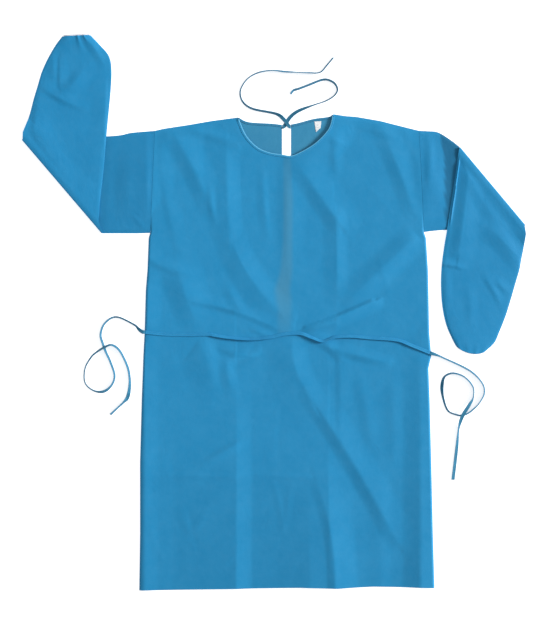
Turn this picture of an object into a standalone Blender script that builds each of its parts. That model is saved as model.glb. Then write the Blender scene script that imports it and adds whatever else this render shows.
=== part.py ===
"""Surgical gown of thin non-woven cloth, laid flat and face up.

World frame: metres, Z up, X to the wearer's left, Y from the hem to the neck. The gown rests on
z = 0. Sizes and places below are millimetres on the laid gown; MM turns them into metres.
"""
import math
from collections import namedtuple

import bmesh
import bpy
import numpy as np
from mathutils import Vector
from mathutils.bvhtree import BVHTree

MM = 0.001

# ------------------------------------------------------------------ driving sizes
CLOTH = 1.0             # wall of every cloth piece
SEAM = 0.3              # clear gap where two pieces meet
ARMHOLE_SEAM = 0.5      # the same at the armholes, where the front's wall leans over its edge
HEM_RIGHT = (-328, -679)
HEM_LEFT = (392, -673)
SHOULDER_RIGHT = (-290, 442)
SHOULDER_LEFT = (354, 442)
UNDERARM_RIGHT = (-301, 193)
UNDERARM_LEFT = (366, 195)
NECK_RIGHT = (-88, 474)
NECK_LEFT = (144, 478)

SHOULDER_SPANS = 11     # spans of the front's grid across one shoulder
NECK_SPANS = 14         # and across the neck
EDGE_COLUMN = 13.0      # first column in from each side
BODY_ROWS = 33          # rows of the grid below the underarm
CHEST_ROWS = 11         # and above it
FRONT_LOFT = 1.6        # how far the front floats off the back between its folds
ARMHOLE_ARCH = 3.0      # height of the hollow in the middle of an armhole
SEAM_EASE = 16.0        # width over which the front comes down to a seam
NECK_LOFT = 1.8         # room under the neck edge for its binding
NECK_LIFT = 4.5         # extra lift of the neck edge on the wearer's left
NECK_LIFT_FROM = 110.0  # it grows over this width from the middle of the neck
NECK_LIFT_BELOW = 60.0  # and ends this far below the shoulder
NECK_REACH = 70.0       # how far it runs into the front
NECK_FLATTENED = 0.7    # share of a fold's height that is lost at the neck edge
NECK_SAMPLES = 25       # points of the neck edge that distances are taken from
CREASE_POWER = 1.2      # how fast a sharp crease falls off from its crest

BINDING_WIDTH = 5.0
BINDING_ROW = 8.0       # the front's second row of points, from its neck edge
BINDING_CLEAR = 0.5     # between the sloping front and the binding folded over it
BINDING_START = 10.0    # bare length of the back neck edge at each shoulder
BINDING_RINGS = 9       # sections of each back binding

TIE_WIDTH = 9.0         # the folded strip of the belt and ties
TIE_THICKNESS = 1.2
BELT_STATIONS = 56
BELT_SPANS = 6          # curve spans between two stations of the belt's table
TIE_SPANS = 3           # and of the ties' tables
TIE_START = 6.0         # straight length of a waist tie where it leaves the belt

NARROWEST_FLANK = 20.0  # slopes narrower than the front's grid are drawn this wide
FOLD_RADIUS = 4.0       # half the height of a sleeve's elbow fold
FOLD_TURNS = 4          # rings worked out between the flat ends of the elbow fold
COVERED_GAP = 1.2       # hollow of the upper sleeve where the forearm lies on it
FOREARM_SEAT = 3.6      # height of the forearm's underside on the upper sleeve
SEAT_MARGIN = 8.0       # the forearm stays at that height this far past the upper sleeve
SEAT_RAMP = 45.0        # and then comes down to the surface over this length
SLEEVE_COLUMNS = 14     # spans across one layer of a sleeve
UPPER_RINGS = 6         # sections of the upper sleeve, from the armhole to the elbow fold
ROUND_POWER = 0.6       # the smaller, the steeper a sleeve's hollow opens from its edges
WEDGE_SHARE = 0.6       # share of the armhole wedge's height in the upper sleeve's hollow

CUFF_GAP = 10.6         # inner height of the gathered wrist
CUFF_WAVES = 5          # gathers across one layer of the wrist
CUFF_WAVE = 1.4
CUFF_FROM = 6.0         # the gathers start where the forearm's hollow is this high
CUFF_ROW = 8.0          # last span of the sleeve, where the elastic sits
ELASTIC_OUT_RIGHT = 4.0     # how far the right elastic shows past the cloth
ELASTIC_OUT_LEFT = 0.6
ELASTIC_SPAN = (1, 13)  # the sleeve columns between which the elastic runs
ELASTIC_START = 0.1     # where it starts, as a share of the cuff row

# Side lines of the body, x of the wearer's right and left edge at each height y.
Side = namedtuple("Side", "y right left")
SIDES = (
    Side(442, -290, 354), Side(194, -301, 366), Side(181, -305, 371), Side(102, -308, 376),
    Side(54, -312, 377), Side(-51, -315, 379), Side(-107, -318, 384), Side(-137, -319, 377),
    Side(-215, -322, 380), Side(-366, -326, 384), Side(-542, -326, 388), Side(-679, -328, 392),
)

# Top edge of the front: shoulder, round neck, shoulder.
SHOULDER_LINE_RIGHT = (SHOULDER_RIGHT, (-268, 447), (-209, 456), (-151, 466), NECK_RIGHT)
FRONT_NECK = (NECK_RIGHT, (-70, 432), (-43, 402), (-13, 388), (20, 382), (41, 379), (61, 386),
              (99, 408), (126, 434), (138, 453), NECK_LEFT)
SHOULDER_LINE_LEFT = (NECK_LEFT, (201, 476), (259, 466), (318, 451), SHOULDER_LEFT)
HEM_LINE = (HEM_RIGHT, (-283, -678), (-34, -673), (64, -671), (157, -673), (244, -669),
            (332, -671), HEM_LEFT)

# Back neck edge, and the open centre back: x of the two edges at each height y.
BACK_NECK_RIGHT = (NECK_RIGHT, (-62, 462), (-4, 458), (20, 455))
BACK_NECK_LEFT = (NECK_LEFT, (136, 475), (99, 470), (61, 460), (42, 456))
Slit = namedtuple("Slit", "y right left")
BACK_SLIT = (
    Slit(383, 20, 42), Slit(273, 25, 37), Slit(200, 27, 35), Slit(66, 15, 40), Slit(5, 8, 44),
    Slit(-39, 10, 42), Slit(-81, 25, 31), Slit(-200, 28, 31), Slit(-672, 28, 31),
)

# Largest folds of the front. A walk from start over middle to end follows the crest, rises are
# its heights on the way, the flanks are the widths of its slopes on the walker's right and left
# hand, and crisp runs from 0, a soft roll, to 1, a sharp crease.
Fold = namedtuple("Fold", "name start middle end rises right_flank left_flank crisp")
FRONT_FOLDS = (
    Fold("armhole_right", (-278, 420), (-266, 298), (-234, 156), (2, 3.5, 2), 15, 34, 0.1),
    Fold("chest_right", (-234, 429), (-187, 342), (-146, 229), (2, 6, 3), 22, 29, 0.2),
    Fold("shoulder_right", (-224, 452), (-161, 422), (-58, 405), (1, 4, 2), 15, 20, 0.2),
    Fold("pack_right_upper", (-108, 403), (-108, 212), (-108, 20), (1.5, 4, 3), 24, 29, 0.8),
    Fold("centre_right", (-102, 195), (-65, 102), (18, -24), (2, 7, 2), 29, 44, 0.3),
    Fold("side_right_crease", (-302, 132), (-248, 107), (-200, 100), (3, 4, 1), 12, 20, 0.8),
    Fold("side_right_bulge", (-226, 107), (-209, 41), (-112, -24), (2, 6, 2), 44, 39, 0.2),
    Fold("belt_right_upper", (-180, 27), (-82, 2), (15, -34), (2, 5, 1), 12, 20, 0.7),
    Fold("belt_right_lower", (-126, -93), (-87, -98), (-43, -100), (1, 3, 1), 10, 20, 0.5),
    Fold("centre_left", (61, 381), (108, 298), (157, 220), (3, 7, 3), 29, 54, 0.2),
    Fold("pack_left_upper", (153, 342), (153, 176), (154, 34), (1.5, 4, 3), 20, 24, 0.8),
    Fold("chest_left", (281, 420), (301, 342), (327, 249), (2, 6, 2), 24, 29, 0.2),
    Fold("side_left_diagonal", (366, 195), (296, 122), (198, 46), (3, 6, 2), 34, 39, 0.1),
    Fold("belt_left_upper", (76, -41), (154, -15), (240, 34), (2, 5, 3), 10, 29, 0.8),
    Fold("belt_left_lower", (86, -59), (144, -95), (164, -156), (4, 5, 2), 12, 29, 0.6),
    Fold("belt_left_under", (164, -93), (210, -105), (279, -112), (2, 5, 2), 10, 20, 0.7),
    Fold("centre_low", (64, -73), (59, -142), (27, -215), (2, 5, 1), 54, 29, 0.1),
    Fold("side_right_ridge", (-314, -68), (-312, -386), (-314, -678), (3, 6, 6), 12, 54, 0.3),
    Fold("pack_right_lower", (-90, -190), (-90, -434), (-90, -678), (2, 5, 5), 63, 32, 0.7),
    Fold("pack_left_middle", (162, -81), (162, -166), (162, -276), (3, 4, 2), 15, 34, 0.8),
    Fold("skirt_diagonal", (93, -203), (176, -342), (303, -551), (3, 9, 3), 24, 59, 0.5),
    Fold("pack_left_lower", (108, -425), (144, -508), (151, -678), (2, 8, 10), 12, 54, 0.8),
    Fold("side_left_ridge", (352, -93), (359, -361), (364, -678), (3, 10, 9), 44, 20, 0.5),
)
SLEEVE_RIGHT_FOLDS = (
    Fold("forearm_crease", (-565, 548), (-510, 515), (-449, 493), (2, 2.5, 1), 14, 26, 0.5),
    Fold("forearm_bulge", (-500, 580), (-470, 540), (-455, 430), (2, 4, 2), 30, 30, 0.1),
    Fold("elbow_roll", (-590, 430), (-545, 372), (-500, 330), (1, 4, 1), 16, 30, 0.2),
)
SLEEVE_LEFT_FOLDS = (
    Fold("armhole_wedge", (376, 432), (380, 370), (384, 310), (2, 6, 2), 13, 18, 0.4),
    Fold("elbow_roll", (500, 240), (548, 200), (600, 168), (1, 7, 3), 24, 20, 0.3),
    Fold("forearm_crease", (412, 112), (436, 110), (462, 104), (3, 3, 1), 10, 22, 0.6),
    Fold("wrist_roll", (530, 80), (556, 60), (586, 36), (1, 3, 1), 14, 22, 0.4),
)

# Sections of the forearms, from the elbow fold to the wrist. outer is the edge that carries on
# from the shoulder, under the edge that carries on from the underarm, hollow the inner height.
Section = namedtuple("Section", "outer under hollow")
FOREARM_RIGHT = (
    Section((-611, 438), (-427, 222), 1.4), Section((-602, 462), (-424, 267), 2.0),
    Section((-594, 487), (-415, 345), 2.6), Section((-586, 518), (-409, 415), 3.2),
    Section((-577, 548), (-404, 475), 3.8), Section((-567, 582), (-398, 540), 4.4),
    Section((-556, 608), (-396, 590), 5.2), Section((-544, 631), (-402, 624), 6.6),
    Section((-530, 654), (-424, 651), 8.4), Section((-516, 672), (-447, 675.3), CUFF_GAP),
)
FOREARM_LEFT = (
    Section((449, 385), (614, 190), 1.4), Section((442, 331), (610, 160), 2.0),
    Section((432, 268), (604, 130), 2.6), Section((423, 206), (599, 103), 3.2),
    Section((415, 156), (590, 72), 3.8), Section((409, 106), (579, 34), 4.4),
    Section((408, 57), (566, -8), 5.2), Section((412, 8), (551, -46), 6.6),
    Section((423, -38), (538, -75), 8.4), Section((443, -80), (517, -94), CUFF_GAP),
)

# One row for each sleeve: the upper edges from the armhole to the elbow fold, the line of the
# upper sleeve's free edge that the forearm crosses, and the x between which the upper sleeve
# rises from under the forearm to its own loft.
Sleeve = namedtuple("Sleeve", "side shoulder_edge under_edge forearm crossed rise_x folds out")
SLEEVE_RIGHT = Sleeve(
    -1, (SHOULDER_RIGHT, (-348, 437), (-385, 430), (-500, 424), (-613.8, 419)),
    (UNDERARM_RIGHT, (-330, 192), (-360, 192), (-390, 192), (-420, 192)),
    FOREARM_RIGHT, ((-613.8, 419), (-385, 430)), (-396, -350), SLEEVE_RIGHT_FOLDS,
    ELASTIC_OUT_RIGHT)
SLEEVE_LEFT = Sleeve(
    1, (SHOULDER_LEFT, (376, 441), (401, 438), (432, 419), (454, 402)),
    (UNDERARM_LEFT, (400, 199), (470, 203), (540, 208), (613, 212)),
    FOREARM_LEFT, ((613, 212), (400, 199)), (424, 396), SLEEVE_LEFT_FOLDS,
    ELASTIC_OUT_LEFT)

# Routes of the strips: place, roll (0 lies flat, 90 stands on edge) and lift off what it lies on.
Station = namedtuple("Station", "x y roll lift")
BELT_ROUTE = (
    Station(-314, -49, 15, 0), Station(-217, -51, 20, 0), Station(-168, -51, 35, 0),
    Station(-126, -61, 60, 0), Station(-58, -65, 55, 0), Station(3, -59, 20, 0),
    Station(30, -56, 0, 0), Station(64, -53, 20, 0), Station(118, -70, 60, 0),
    Station(166, -58, 70, 0), Station(237, -63, 60, 0), Station(305, -68, 70, 0),
    Station(335, -81, 60, 0), Station(380, -99, 30, 0),
)
# The waist ties go on from the belt's own ends.
WAIST_TIE_RIGHT = (
    Station(-329, -42, 30, 2), Station(-342, -30, 60, 0), Station(-384, -12, 75, 0),
    Station(-412, -28, 78, 0), Station(-422, -55, 75, 0), Station(-417, -76, 62, 0),
    Station(-413, -88, 60, 0), Station(-408, -100, 62, 0), Station(-398, -122, 75, 0),
    Station(-388, -154, 78, 0), Station(-395, -178, 75, 0), Station(-415, -194, 45, 0),
    Station(-440, -191, 65, 0), Station(-460, -172, 76, 0), Station(-460, -138, 76, 0),
    Station(-445, -110, 70, 1.5), Station(-430, -97, 60, 6.5), Station(-412, -86, 55, 8.8),
    Station(-396, -80, 60, 6.0), Station(-380, -89, 72, 1), Station(-367, -109, 75, 0),
    Station(-355, -138, 72, 0), Station(-351, -165, 60, 0), Station(-352, -188, 40, 0),
    Station(-357, -209, 12, 0), Station(-366, -220, 60, 0), Station(-382, -235, 76, 0),
    Station(-398, -250, 60, 0),
)
WAIST_TIE_LEFT = (
    Station(395, -104, 45, 1.5), Station(414, -112, 65, 0), Station(476, -142, 72, 0),
    Station(507, -172, 76, 0), Station(513, -198, 62, 0), Station(500, -223, 76, 0),
    Station(483, -240, 70, 0), Station(471, -248, 60, 0), Station(459, -252, 60, 0),
    Station(447, -251, 66, 0), Station(424, -240, 78, 0), Station(412, -207, 60, 0),
    Station(410, -180, 30, 0), Station(416, -158, 65, 0), Station(436, -149, 76, 0),
    Station(464, -158, 78, 0), Station(485, -182, 76, 0), Station(486, -208, 65, 0),
    Station(476, -226, 25, 5.5), Station(463, -246, 6, 8.8), Station(455, -264, 20, 5.5),
    Station(450, -288, 58, 0), Station(446, -332, 28, 0), Station(437, -409, 22, 0),
)
NECK_TIE_RIGHT = (
    Station(41.6, 452, 0, 1.0), Station(40.1, 452, 0, 1.2), Station(38.6, 452, 0, 1.4),
    Station(34.5, 456, 0, 1.9), Station(29.5, 463.5, 0, 2.0), Station(23, 471, 5, 1.8),
    Station(14, 479, 30, 0.6), Station(-2, 485, 70, 0), Station(-51, 495, 76, 0),
    Station(-74, 510, 78, 0), Station(-82, 530, 78, 0), Station(-78, 549, 78, 0),
    Station(-62, 570, 76, 0), Station(-36, 584, 70, 0), Station(-4, 589, 65, 0),
    Station(25, 586, 55, 0), Station(60, 584, 78, 0), Station(88, 583, 62, 0),
    Station(113, 584, 66, 0), Station(130, 602, 66, 0), Station(145, 620, 66, 0),
)
NECK_TIE_LEFT = (
    Station(20.4, 451.5, 0, 0.5), Station(21.9, 451.5, 0, 0.4), Station(23.4, 451.5, 0, 0.3),
    Station(27.5, 456, 0, 0), Station(33, 465, 0, 0), Station(39, 474, 5, 0),
    Station(50, 484, 18, 0), Station(66, 493, 28, 0), Station(99, 505, 65, 0),
    Station(126, 514, 76, 0), Station(146, 526, 78, 0), Station(155, 541, 78, 0),
    Station(148, 557, 78, 0), Station(131, 566, 78, 0), Station(115, 565, 76, 0),
    Station(90, 555, 76, 0), Station(61, 544, 76, 0), Station(48, 540, 72, 0),
    Station(41, 531, 66, 0),
)

# The tag on the inside of the back, folded to a point at its lower end.
LABEL = ((99, 464.5), (116, 465.5), (114, 449), (103, 439))

# Colours as 8-bit sRGB.
CLOTH_BLUE = (54, 141, 190)
SLEEVE_BLUE = (46, 132, 184)
INSIDE_BLUE = (72, 140, 172)
TRIM_BLUE = (62, 146, 194)
ELASTIC_WHITE = (226, 226, 236)
LABEL_WHITE = (240, 242, 244)
CLOTH_ROUGHNESS = 0.8
TRIM_ROUGHNESS = 0.7


# ------------------------------------------------------------------ scene and materials
def clear_scene():
    for item in list(bpy.data.objects):
        bpy.data.objects.remove(item, do_unlink=True)


def collection(name):
    made = bpy.data.collections.new(name)
    bpy.context.scene.collection.children.link(made)
    return made


def linear(channel):
    value = channel / 255
    return value / 12.92 if value <= 0.04045 else ((value + 0.055) / 1.055) ** 2.4


def material(name, colour, roughness):
    made = bpy.data.materials.new(name)
    made.use_nodes = True
    shader = made.node_tree.nodes["Principled BSDF"]
    rgba = [linear(channel) for channel in colour] + [1.0]
    shader.inputs["Base Color"].default_value = rgba
    shader.inputs["Roughness"].default_value = roughness
    shader.inputs["Metallic"].default_value = 0.0
    made.diffuse_color = rgba
    return made


def add_object(name, data, cloth, parts):
    made = bpy.data.objects.new(name, data)
    data.materials.append(cloth)
    parts.objects.link(made)
    return made


# ------------------------------------------------------------------ curves and folds
def along(points, fractions):
    """Points at the given fractions of a polyline's length."""
    table = np.asarray(points, float)
    steps = np.linalg.norm(np.diff(table[:, :2], axis=0), axis=1)
    reached = np.concatenate([[0.0], np.cumsum(steps)]) / steps.sum()
    return np.column_stack([np.interp(fractions, reached, column) for column in table.T])


def smooth_route(points, spans):
    """A Catmull-Rom curve through every point, with the given spans between two points."""
    table = np.asarray(points, float)
    padded = np.vstack([2 * table[0] - table[1], table, 2 * table[-1] - table[-2]])
    out = []
    for i in range(1, len(padded) - 2):
        before, start, end, after = padded[i - 1:i + 3]
        for step in range(spans):
            t = step / spans
            out.append(0.5 * (2 * start + (end - before) * t
                              + (2 * before - 5 * start + 4 * end - after) * t ** 2
                              + (3 * start - before - 3 * end + after) * t ** 3))
    out.append(table[-1])
    return np.array(out)


def ease(value):
    """0 below 0, 1 above 1 and a smooth step between."""
    t = np.clip(value, 0.0, 1.0)
    return t * t * (3 - 2 * t)


def crest_line(fold, count=12):
    """Points x, y, rise on the curve through a fold's start, middle and end."""
    ends = np.array([(*fold.start, fold.rises[0]), (*fold.middle, fold.rises[1]),
                     (*fold.end, fold.rises[2])], float)
    control = 2 * ends[1] - (ends[0] + ends[2]) / 2
    t = np.linspace(0, 1, count + 1)[:, None]
    return (1 - t) ** 2 * ends[0] + 2 * t * (1 - t) * control + t ** 2 * ends[2]


def folds_rise(x, y, folds):
    """Sum of the heights of all folds at the points x, y."""
    total = np.zeros_like(x)
    for fold in folds:
        line = crest_line(fold)
        nearest = np.full(x.shape, np.inf)
        rise = np.zeros_like(x)
        on_right = np.zeros(x.shape, bool)
        for start, end in zip(line[:-1], line[1:]):
            run = end[:2] - start[:2]
            t = ((x - start[0]) * run[0] + (y - start[1]) * run[1]) / (run @ run)
            t = np.clip(t, 0, 1)
            dx = x - start[0] - t * run[0]
            dy = y - start[1] - t * run[1]
            distance = np.hypot(dx, dy)
            closer = distance < nearest
            nearest = np.where(closer, distance, nearest)
            rise = np.where(closer, start[2] + t * (end[2] - start[2]), rise)
            on_right = np.where(closer, dx * run[1] - dy * run[0] > 0, on_right)
        right_flank = max(fold.right_flank, NARROWEST_FLANK)
        left_flank = max(fold.left_flank, NARROWEST_FLANK)
        q = np.clip(nearest / np.where(on_right, right_flank, left_flank), 0, 1)
        soft = 0.5 + 0.5 * np.cos(math.pi * q)
        total += rise * (fold.crisp * (1 - q) ** CREASE_POWER + (1 - fold.crisp) * soft)
    return total


# ------------------------------------------------------------------ the body's form
def side_x(y, side):
    heights = [row.y for row in SIDES][::-1]
    edges = [getattr(row, side) for row in SIDES][::-1]
    return np.interp(y, heights, edges)


def top_y(x):
    line = np.array(SHOULDER_LINE_RIGHT + FRONT_NECK[1:] + SHOULDER_LINE_LEFT[1:], float)
    return np.interp(x, line[:, 0], line[:, 1])


def armhole_arch(y):
    """Height of the armhole's hollow over its two ends."""
    t = np.clip((y - UNDERARM_RIGHT[1]) / (SHOULDER_RIGHT[1] - UNDERARM_RIGHT[1]), 0, 1)
    return ARMHOLE_ARCH * np.sin(math.pi * t)


def front_underside(x, y):
    """Height of the front's lower face over the surface that the gown lies on."""
    off_side = np.minimum(x - side_x(y, "right"), side_x(y, "left") - x)
    off_shoulder = np.where((x < NECK_RIGHT[0]) | (x > NECK_LEFT[0]), top_y(x) - y, SEAM_EASE)
    at_side = ease(off_side / SEAM_EASE)
    inside = at_side * ease(off_shoulder / SEAM_EASE)
    neck = np.array(FRONT_NECK, float)
    samples = along(neck, np.linspace(0, 1, NECK_SAMPLES))
    off_neck = np.min([np.hypot(x - px, y - py) for px, py in samples], axis=0)
    by_neck = ease(1 - off_neck / NECK_REACH)
    lifted = ease(x / NECK_LIFT_FROM) * ease((NECK_LEFT[1] - y) / NECK_LIFT_BELOW)
    neck_room = by_neck * (NECK_LOFT + NECK_LIFT * lifted)
    folds = folds_rise(x, y, FRONT_FOLDS) * (1 - NECK_FLATTENED * by_neck)
    open_height = FRONT_LOFT + folds
    return CLOTH + SEAM + (1 - at_side) * armhole_arch(y) + inside * open_height + neck_room


def front_columns():
    """u of each column, and how many of them lie on the right shoulder and on the neck."""
    width = SHOULDER_LEFT[0] - SHOULDER_RIGHT[0]
    neck_start = (NECK_RIGHT[0] - SHOULDER_RIGHT[0]) / width
    neck_end = (NECK_LEFT[0] - SHOULDER_RIGHT[0]) / width
    edge = EDGE_COLUMN / width
    right = np.concatenate([[0, edge], np.linspace(0, neck_start, SHOULDER_SPANS + 1)[1:]])
    neck = np.linspace(neck_start, neck_end, NECK_SPANS + 1)[1:]
    left = np.concatenate([np.linspace(neck_end, 1, SHOULDER_SPANS + 1)[1:-1], [1 - edge, 1]])
    return np.concatenate([right, neck, left]), len(right), len(neck)


def front_rows():
    """v of each row: even below and above the underarm, and one close to the top edge."""
    underarm = (UNDERARM_RIGHT[1] - HEM_RIGHT[1]) / (SHOULDER_RIGHT[1] - HEM_RIGHT[1])
    binding = 1 - BINDING_ROW / (SHOULDER_RIGHT[1] - HEM_RIGHT[1])
    below = np.linspace(0, underarm, BODY_ROWS + 1)
    above = np.linspace(underarm, binding, CHEST_ROWS + 1)[1:]
    return np.concatenate([below, above, [1.0]])


def front_points():
    """Middle of the front's wall on a grid of rows by columns, blended from its four edges."""
    columns, right_count, neck_count = front_columns()
    rows = front_rows()
    on_right = columns[:right_count] / columns[right_count - 1]
    after_neck = columns[right_count + neck_count - 1:]
    on_left = (after_neck - after_neck[0]) / (after_neck[-1] - after_neck[0])
    top = np.vstack([along(SHOULDER_LINE_RIGHT, on_right),
                     along(FRONT_NECK, np.linspace(0, 1, neck_count + 1))[1:],
                     along(SHOULDER_LINE_LEFT, on_left)[1:]])
    hem = along(HEM_LINE, columns)
    right_y = HEM_RIGHT[1] + rows * (SHOULDER_RIGHT[1] - HEM_RIGHT[1])
    left_y = HEM_LEFT[1] + rows * (SHOULDER_LEFT[1] - HEM_LEFT[1])
    right = np.column_stack([side_x(right_y, "right"), right_y])
    left = np.column_stack([side_x(left_y, "left"), left_y])
    u = columns[None, :, None]
    v = rows[:, None, None]
    corners = ((1 - u) * (1 - v) * hem[0] + u * (1 - v) * hem[-1]
               + (1 - u) * v * top[0] + u * v * top[-1])
    flat = ((1 - v) * hem[None] + v * top[None] + (1 - u) * right[:, None] + u * left[:, None]
            - corners)
    height = front_underside(flat[..., 0], flat[..., 1]) + CLOTH / 2
    return np.dstack([flat, height])


# ------------------------------------------------------------------ meshes
def grid_mesh(name, points):
    """A surface through a grid of points in millimetres."""
    rows, columns = points.shape[:2]
    grid = bmesh.new()
    bmesh.ops.create_grid(grid, x_segments=columns - 1, y_segments=rows - 1, size=1.0)
    ordered = sorted(grid.verts, key=lambda vert: (round(vert.co.y, 6), round(vert.co.x, 6)))
    for vert, place in zip(ordered, points.reshape(-1, 3)):
        vert.co = Vector(place) * MM
    mesh = bpy.data.meshes.new(name)
    grid.to_mesh(mesh)
    grid.free()
    return mesh


def cloth_sheet(name, points, cloth, parts):
    """A cloth wall centred on a grid of points."""
    sheet = add_object(name, grid_mesh(name, points), cloth, parts)
    wall = sheet.modifiers.new("Wall", "SOLIDIFY")
    wall.thickness = CLOTH * MM
    wall.offset = 0.0
    return sheet


def flat_piece(name, outline, thickness, height, cloth, parts):
    """A flat closed outline with its underside at a height."""
    curve = bpy.data.curves.new(name, "CURVE")
    curve.dimensions = "2D"
    curve.fill_mode = "BOTH"
    curve.extrude = thickness / 2 * MM
    line = curve.splines.new("POLY")
    line.points.add(len(outline) - 1)
    for point, (x, y) in zip(line.points, outline):
        point.co = (x * MM, y * MM, 0.0, 1.0)
    line.use_cyclic_u = True
    piece = add_object(name, curve, cloth, parts)
    piece.location.z = (height + thickness / 2) * MM
    return piece


def loft(name, rings, cloth, parts, hollow=None):
    """A solid through rings of points; hollow holds the rings of its inner wall, if it is open."""
    solid = bmesh.new()

    def layer(table):
        return [[solid.verts.new(Vector(place) * MM) for place in ring] for ring in table]

    def skin(table):
        for near, far in zip(table[:-1], table[1:]):
            for i in range(len(near)):
                j = (i + 1) % len(near)
                solid.faces.new((near[i], near[j], far[j], far[i]))

    outside = layer(rings)
    skin(outside)
    if hollow is None:
        solid.faces.new(outside[0][::-1])
        solid.faces.new(outside[-1])
    else:
        inside = layer(hollow)
        skin([ring[::-1] for ring in inside])
        for inner, outer in ((outside[0], inside[0]), (inside[-1], outside[-1])):
            for i in range(len(outer)):
                j = (i + 1) % len(outer)
                solid.faces.new((inner[j], inner[i], outer[i], outer[j]))
    bmesh.ops.recalc_face_normals(solid, faces=solid.faces)
    mesh = bpy.data.meshes.new(name)
    solid.to_mesh(mesh)
    solid.free()
    return add_object(name, mesh, cloth, parts)


# ------------------------------------------------------------------ body
def make_front(cloth, parts):
    points = front_points()
    return cloth_sheet("front", points, cloth, parts), points


def back_outline(side, neck, shoulder_line, hem):
    """Outline of one back half: side, shoulder, neck and the open centre edge."""
    sides = [(getattr(row, side), row.y) for row in SIDES[1:-1]]
    centre = [(getattr(row, side), row.y) for row in BACK_SLIT]
    return [hem] + sides[::-1] + list(shoulder_line) + list(neck[1:]) + centre


def make_backs(cloth, parts):
    right = back_outline("right", BACK_NECK_RIGHT, SHOULDER_LINE_RIGHT, HEM_RIGHT)
    left = back_outline("left", BACK_NECK_LEFT, SHOULDER_LINE_LEFT[::-1], HEM_LEFT)
    flat_piece("back_right", right, CLOTH, 0.0, cloth, parts)
    flat_piece("back_left", left, CLOTH, 0.0, cloth, parts)


def make_front_binding(points, cloth, parts):
    """A folded strip over the neck edge, moved out from the front's last two rows of points."""
    columns, right_count, neck_count = front_columns()
    neck = slice(right_count - 1, right_count + neck_count)
    edge = points[-1, neck]
    inside = points[-2, neck]
    off = inside - edge
    reach = np.linalg.norm(off, axis=1, keepdims=True)
    inward = off / reach
    near = CLOTH / 2 + BINDING_CLEAR
    far = near + CLOTH
    up = np.array([0.0, 0.0, 1.0])
    rings = []
    for at, way in zip(edge, inward):
        deep = at + way * BINDING_WIDTH
        flat_way = np.array([way[0], way[1], 0.0])
        lip = at - flat_way * BINDING_CLEAR
        rim = lip - flat_way * CLOTH
        rings.append([deep + far * up, rim + far * up, rim - far * up, deep - far * up,
                      deep - near * up, lip - near * up, lip + near * up, deep + near * up])
    loft("neck_binding_front", rings[1:-1], cloth, parts)


def make_back_binding(name, neck, cloth, parts):
    """The strip along a back half's neck edge: its upper face and the turn over the edge."""
    line = np.array(neck, float)
    length = np.linalg.norm(np.diff(line, axis=0), axis=1).sum()
    stops = np.linspace(BINDING_START / length, 1.0, BINDING_RINGS)
    at = along(line, stops)
    way = np.gradient(at, axis=0)
    way /= np.linalg.norm(way, axis=1, keepdims=True)
    turn = 1 if name.endswith("right") else -1
    outward = np.column_stack([-way[:, 1], way[:, 0]]) * turn
    low = CLOTH + SEAM
    high = low + CLOTH
    profile = ((-BINDING_WIDTH, low), (-BINDING_WIDTH, high), (SEAM + CLOTH, high),
               (SEAM + CLOTH, 0.0), (SEAM, 0.0), (SEAM, low))
    rings = [[(*(place + out * off), z) for off, z in profile] for place, out in zip(at, outward)]
    loft(name, rings, cloth, parts)


# ------------------------------------------------------------------ sleeves
def upper_hollow(sleeve, x, y, t):
    """Inner height of the upper sleeve at a point, t of the way across it."""
    lofted = ease((x - sleeve.rise_x[0]) / (sleeve.rise_x[1] - sleeve.rise_x[0]))
    folds = folds_rise(x, y, sleeve.folds[:1]) if sleeve.side > 0 else 0.0
    free = armhole_arch(y) + WEDGE_SHARE * folds
    across = (4 * t * (1 - t)) ** ROUND_POWER
    return SEAM + across * (COVERED_GAP - SEAM) * (1 - lofted) + across * free * lofted


def seat_height(sleeve, x, y):
    """Height of the forearm's underside: on the upper sleeve, then down to the surface."""
    start, end = np.array(sleeve.crossed, float)
    way = (end - start) / np.linalg.norm(end - start)
    past = (way[0] * (y - start[1]) - way[1] * (x - start[0]))
    return FOREARM_SEAT * ease(1 - (past - SEAT_MARGIN) / SEAT_RAMP)


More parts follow.
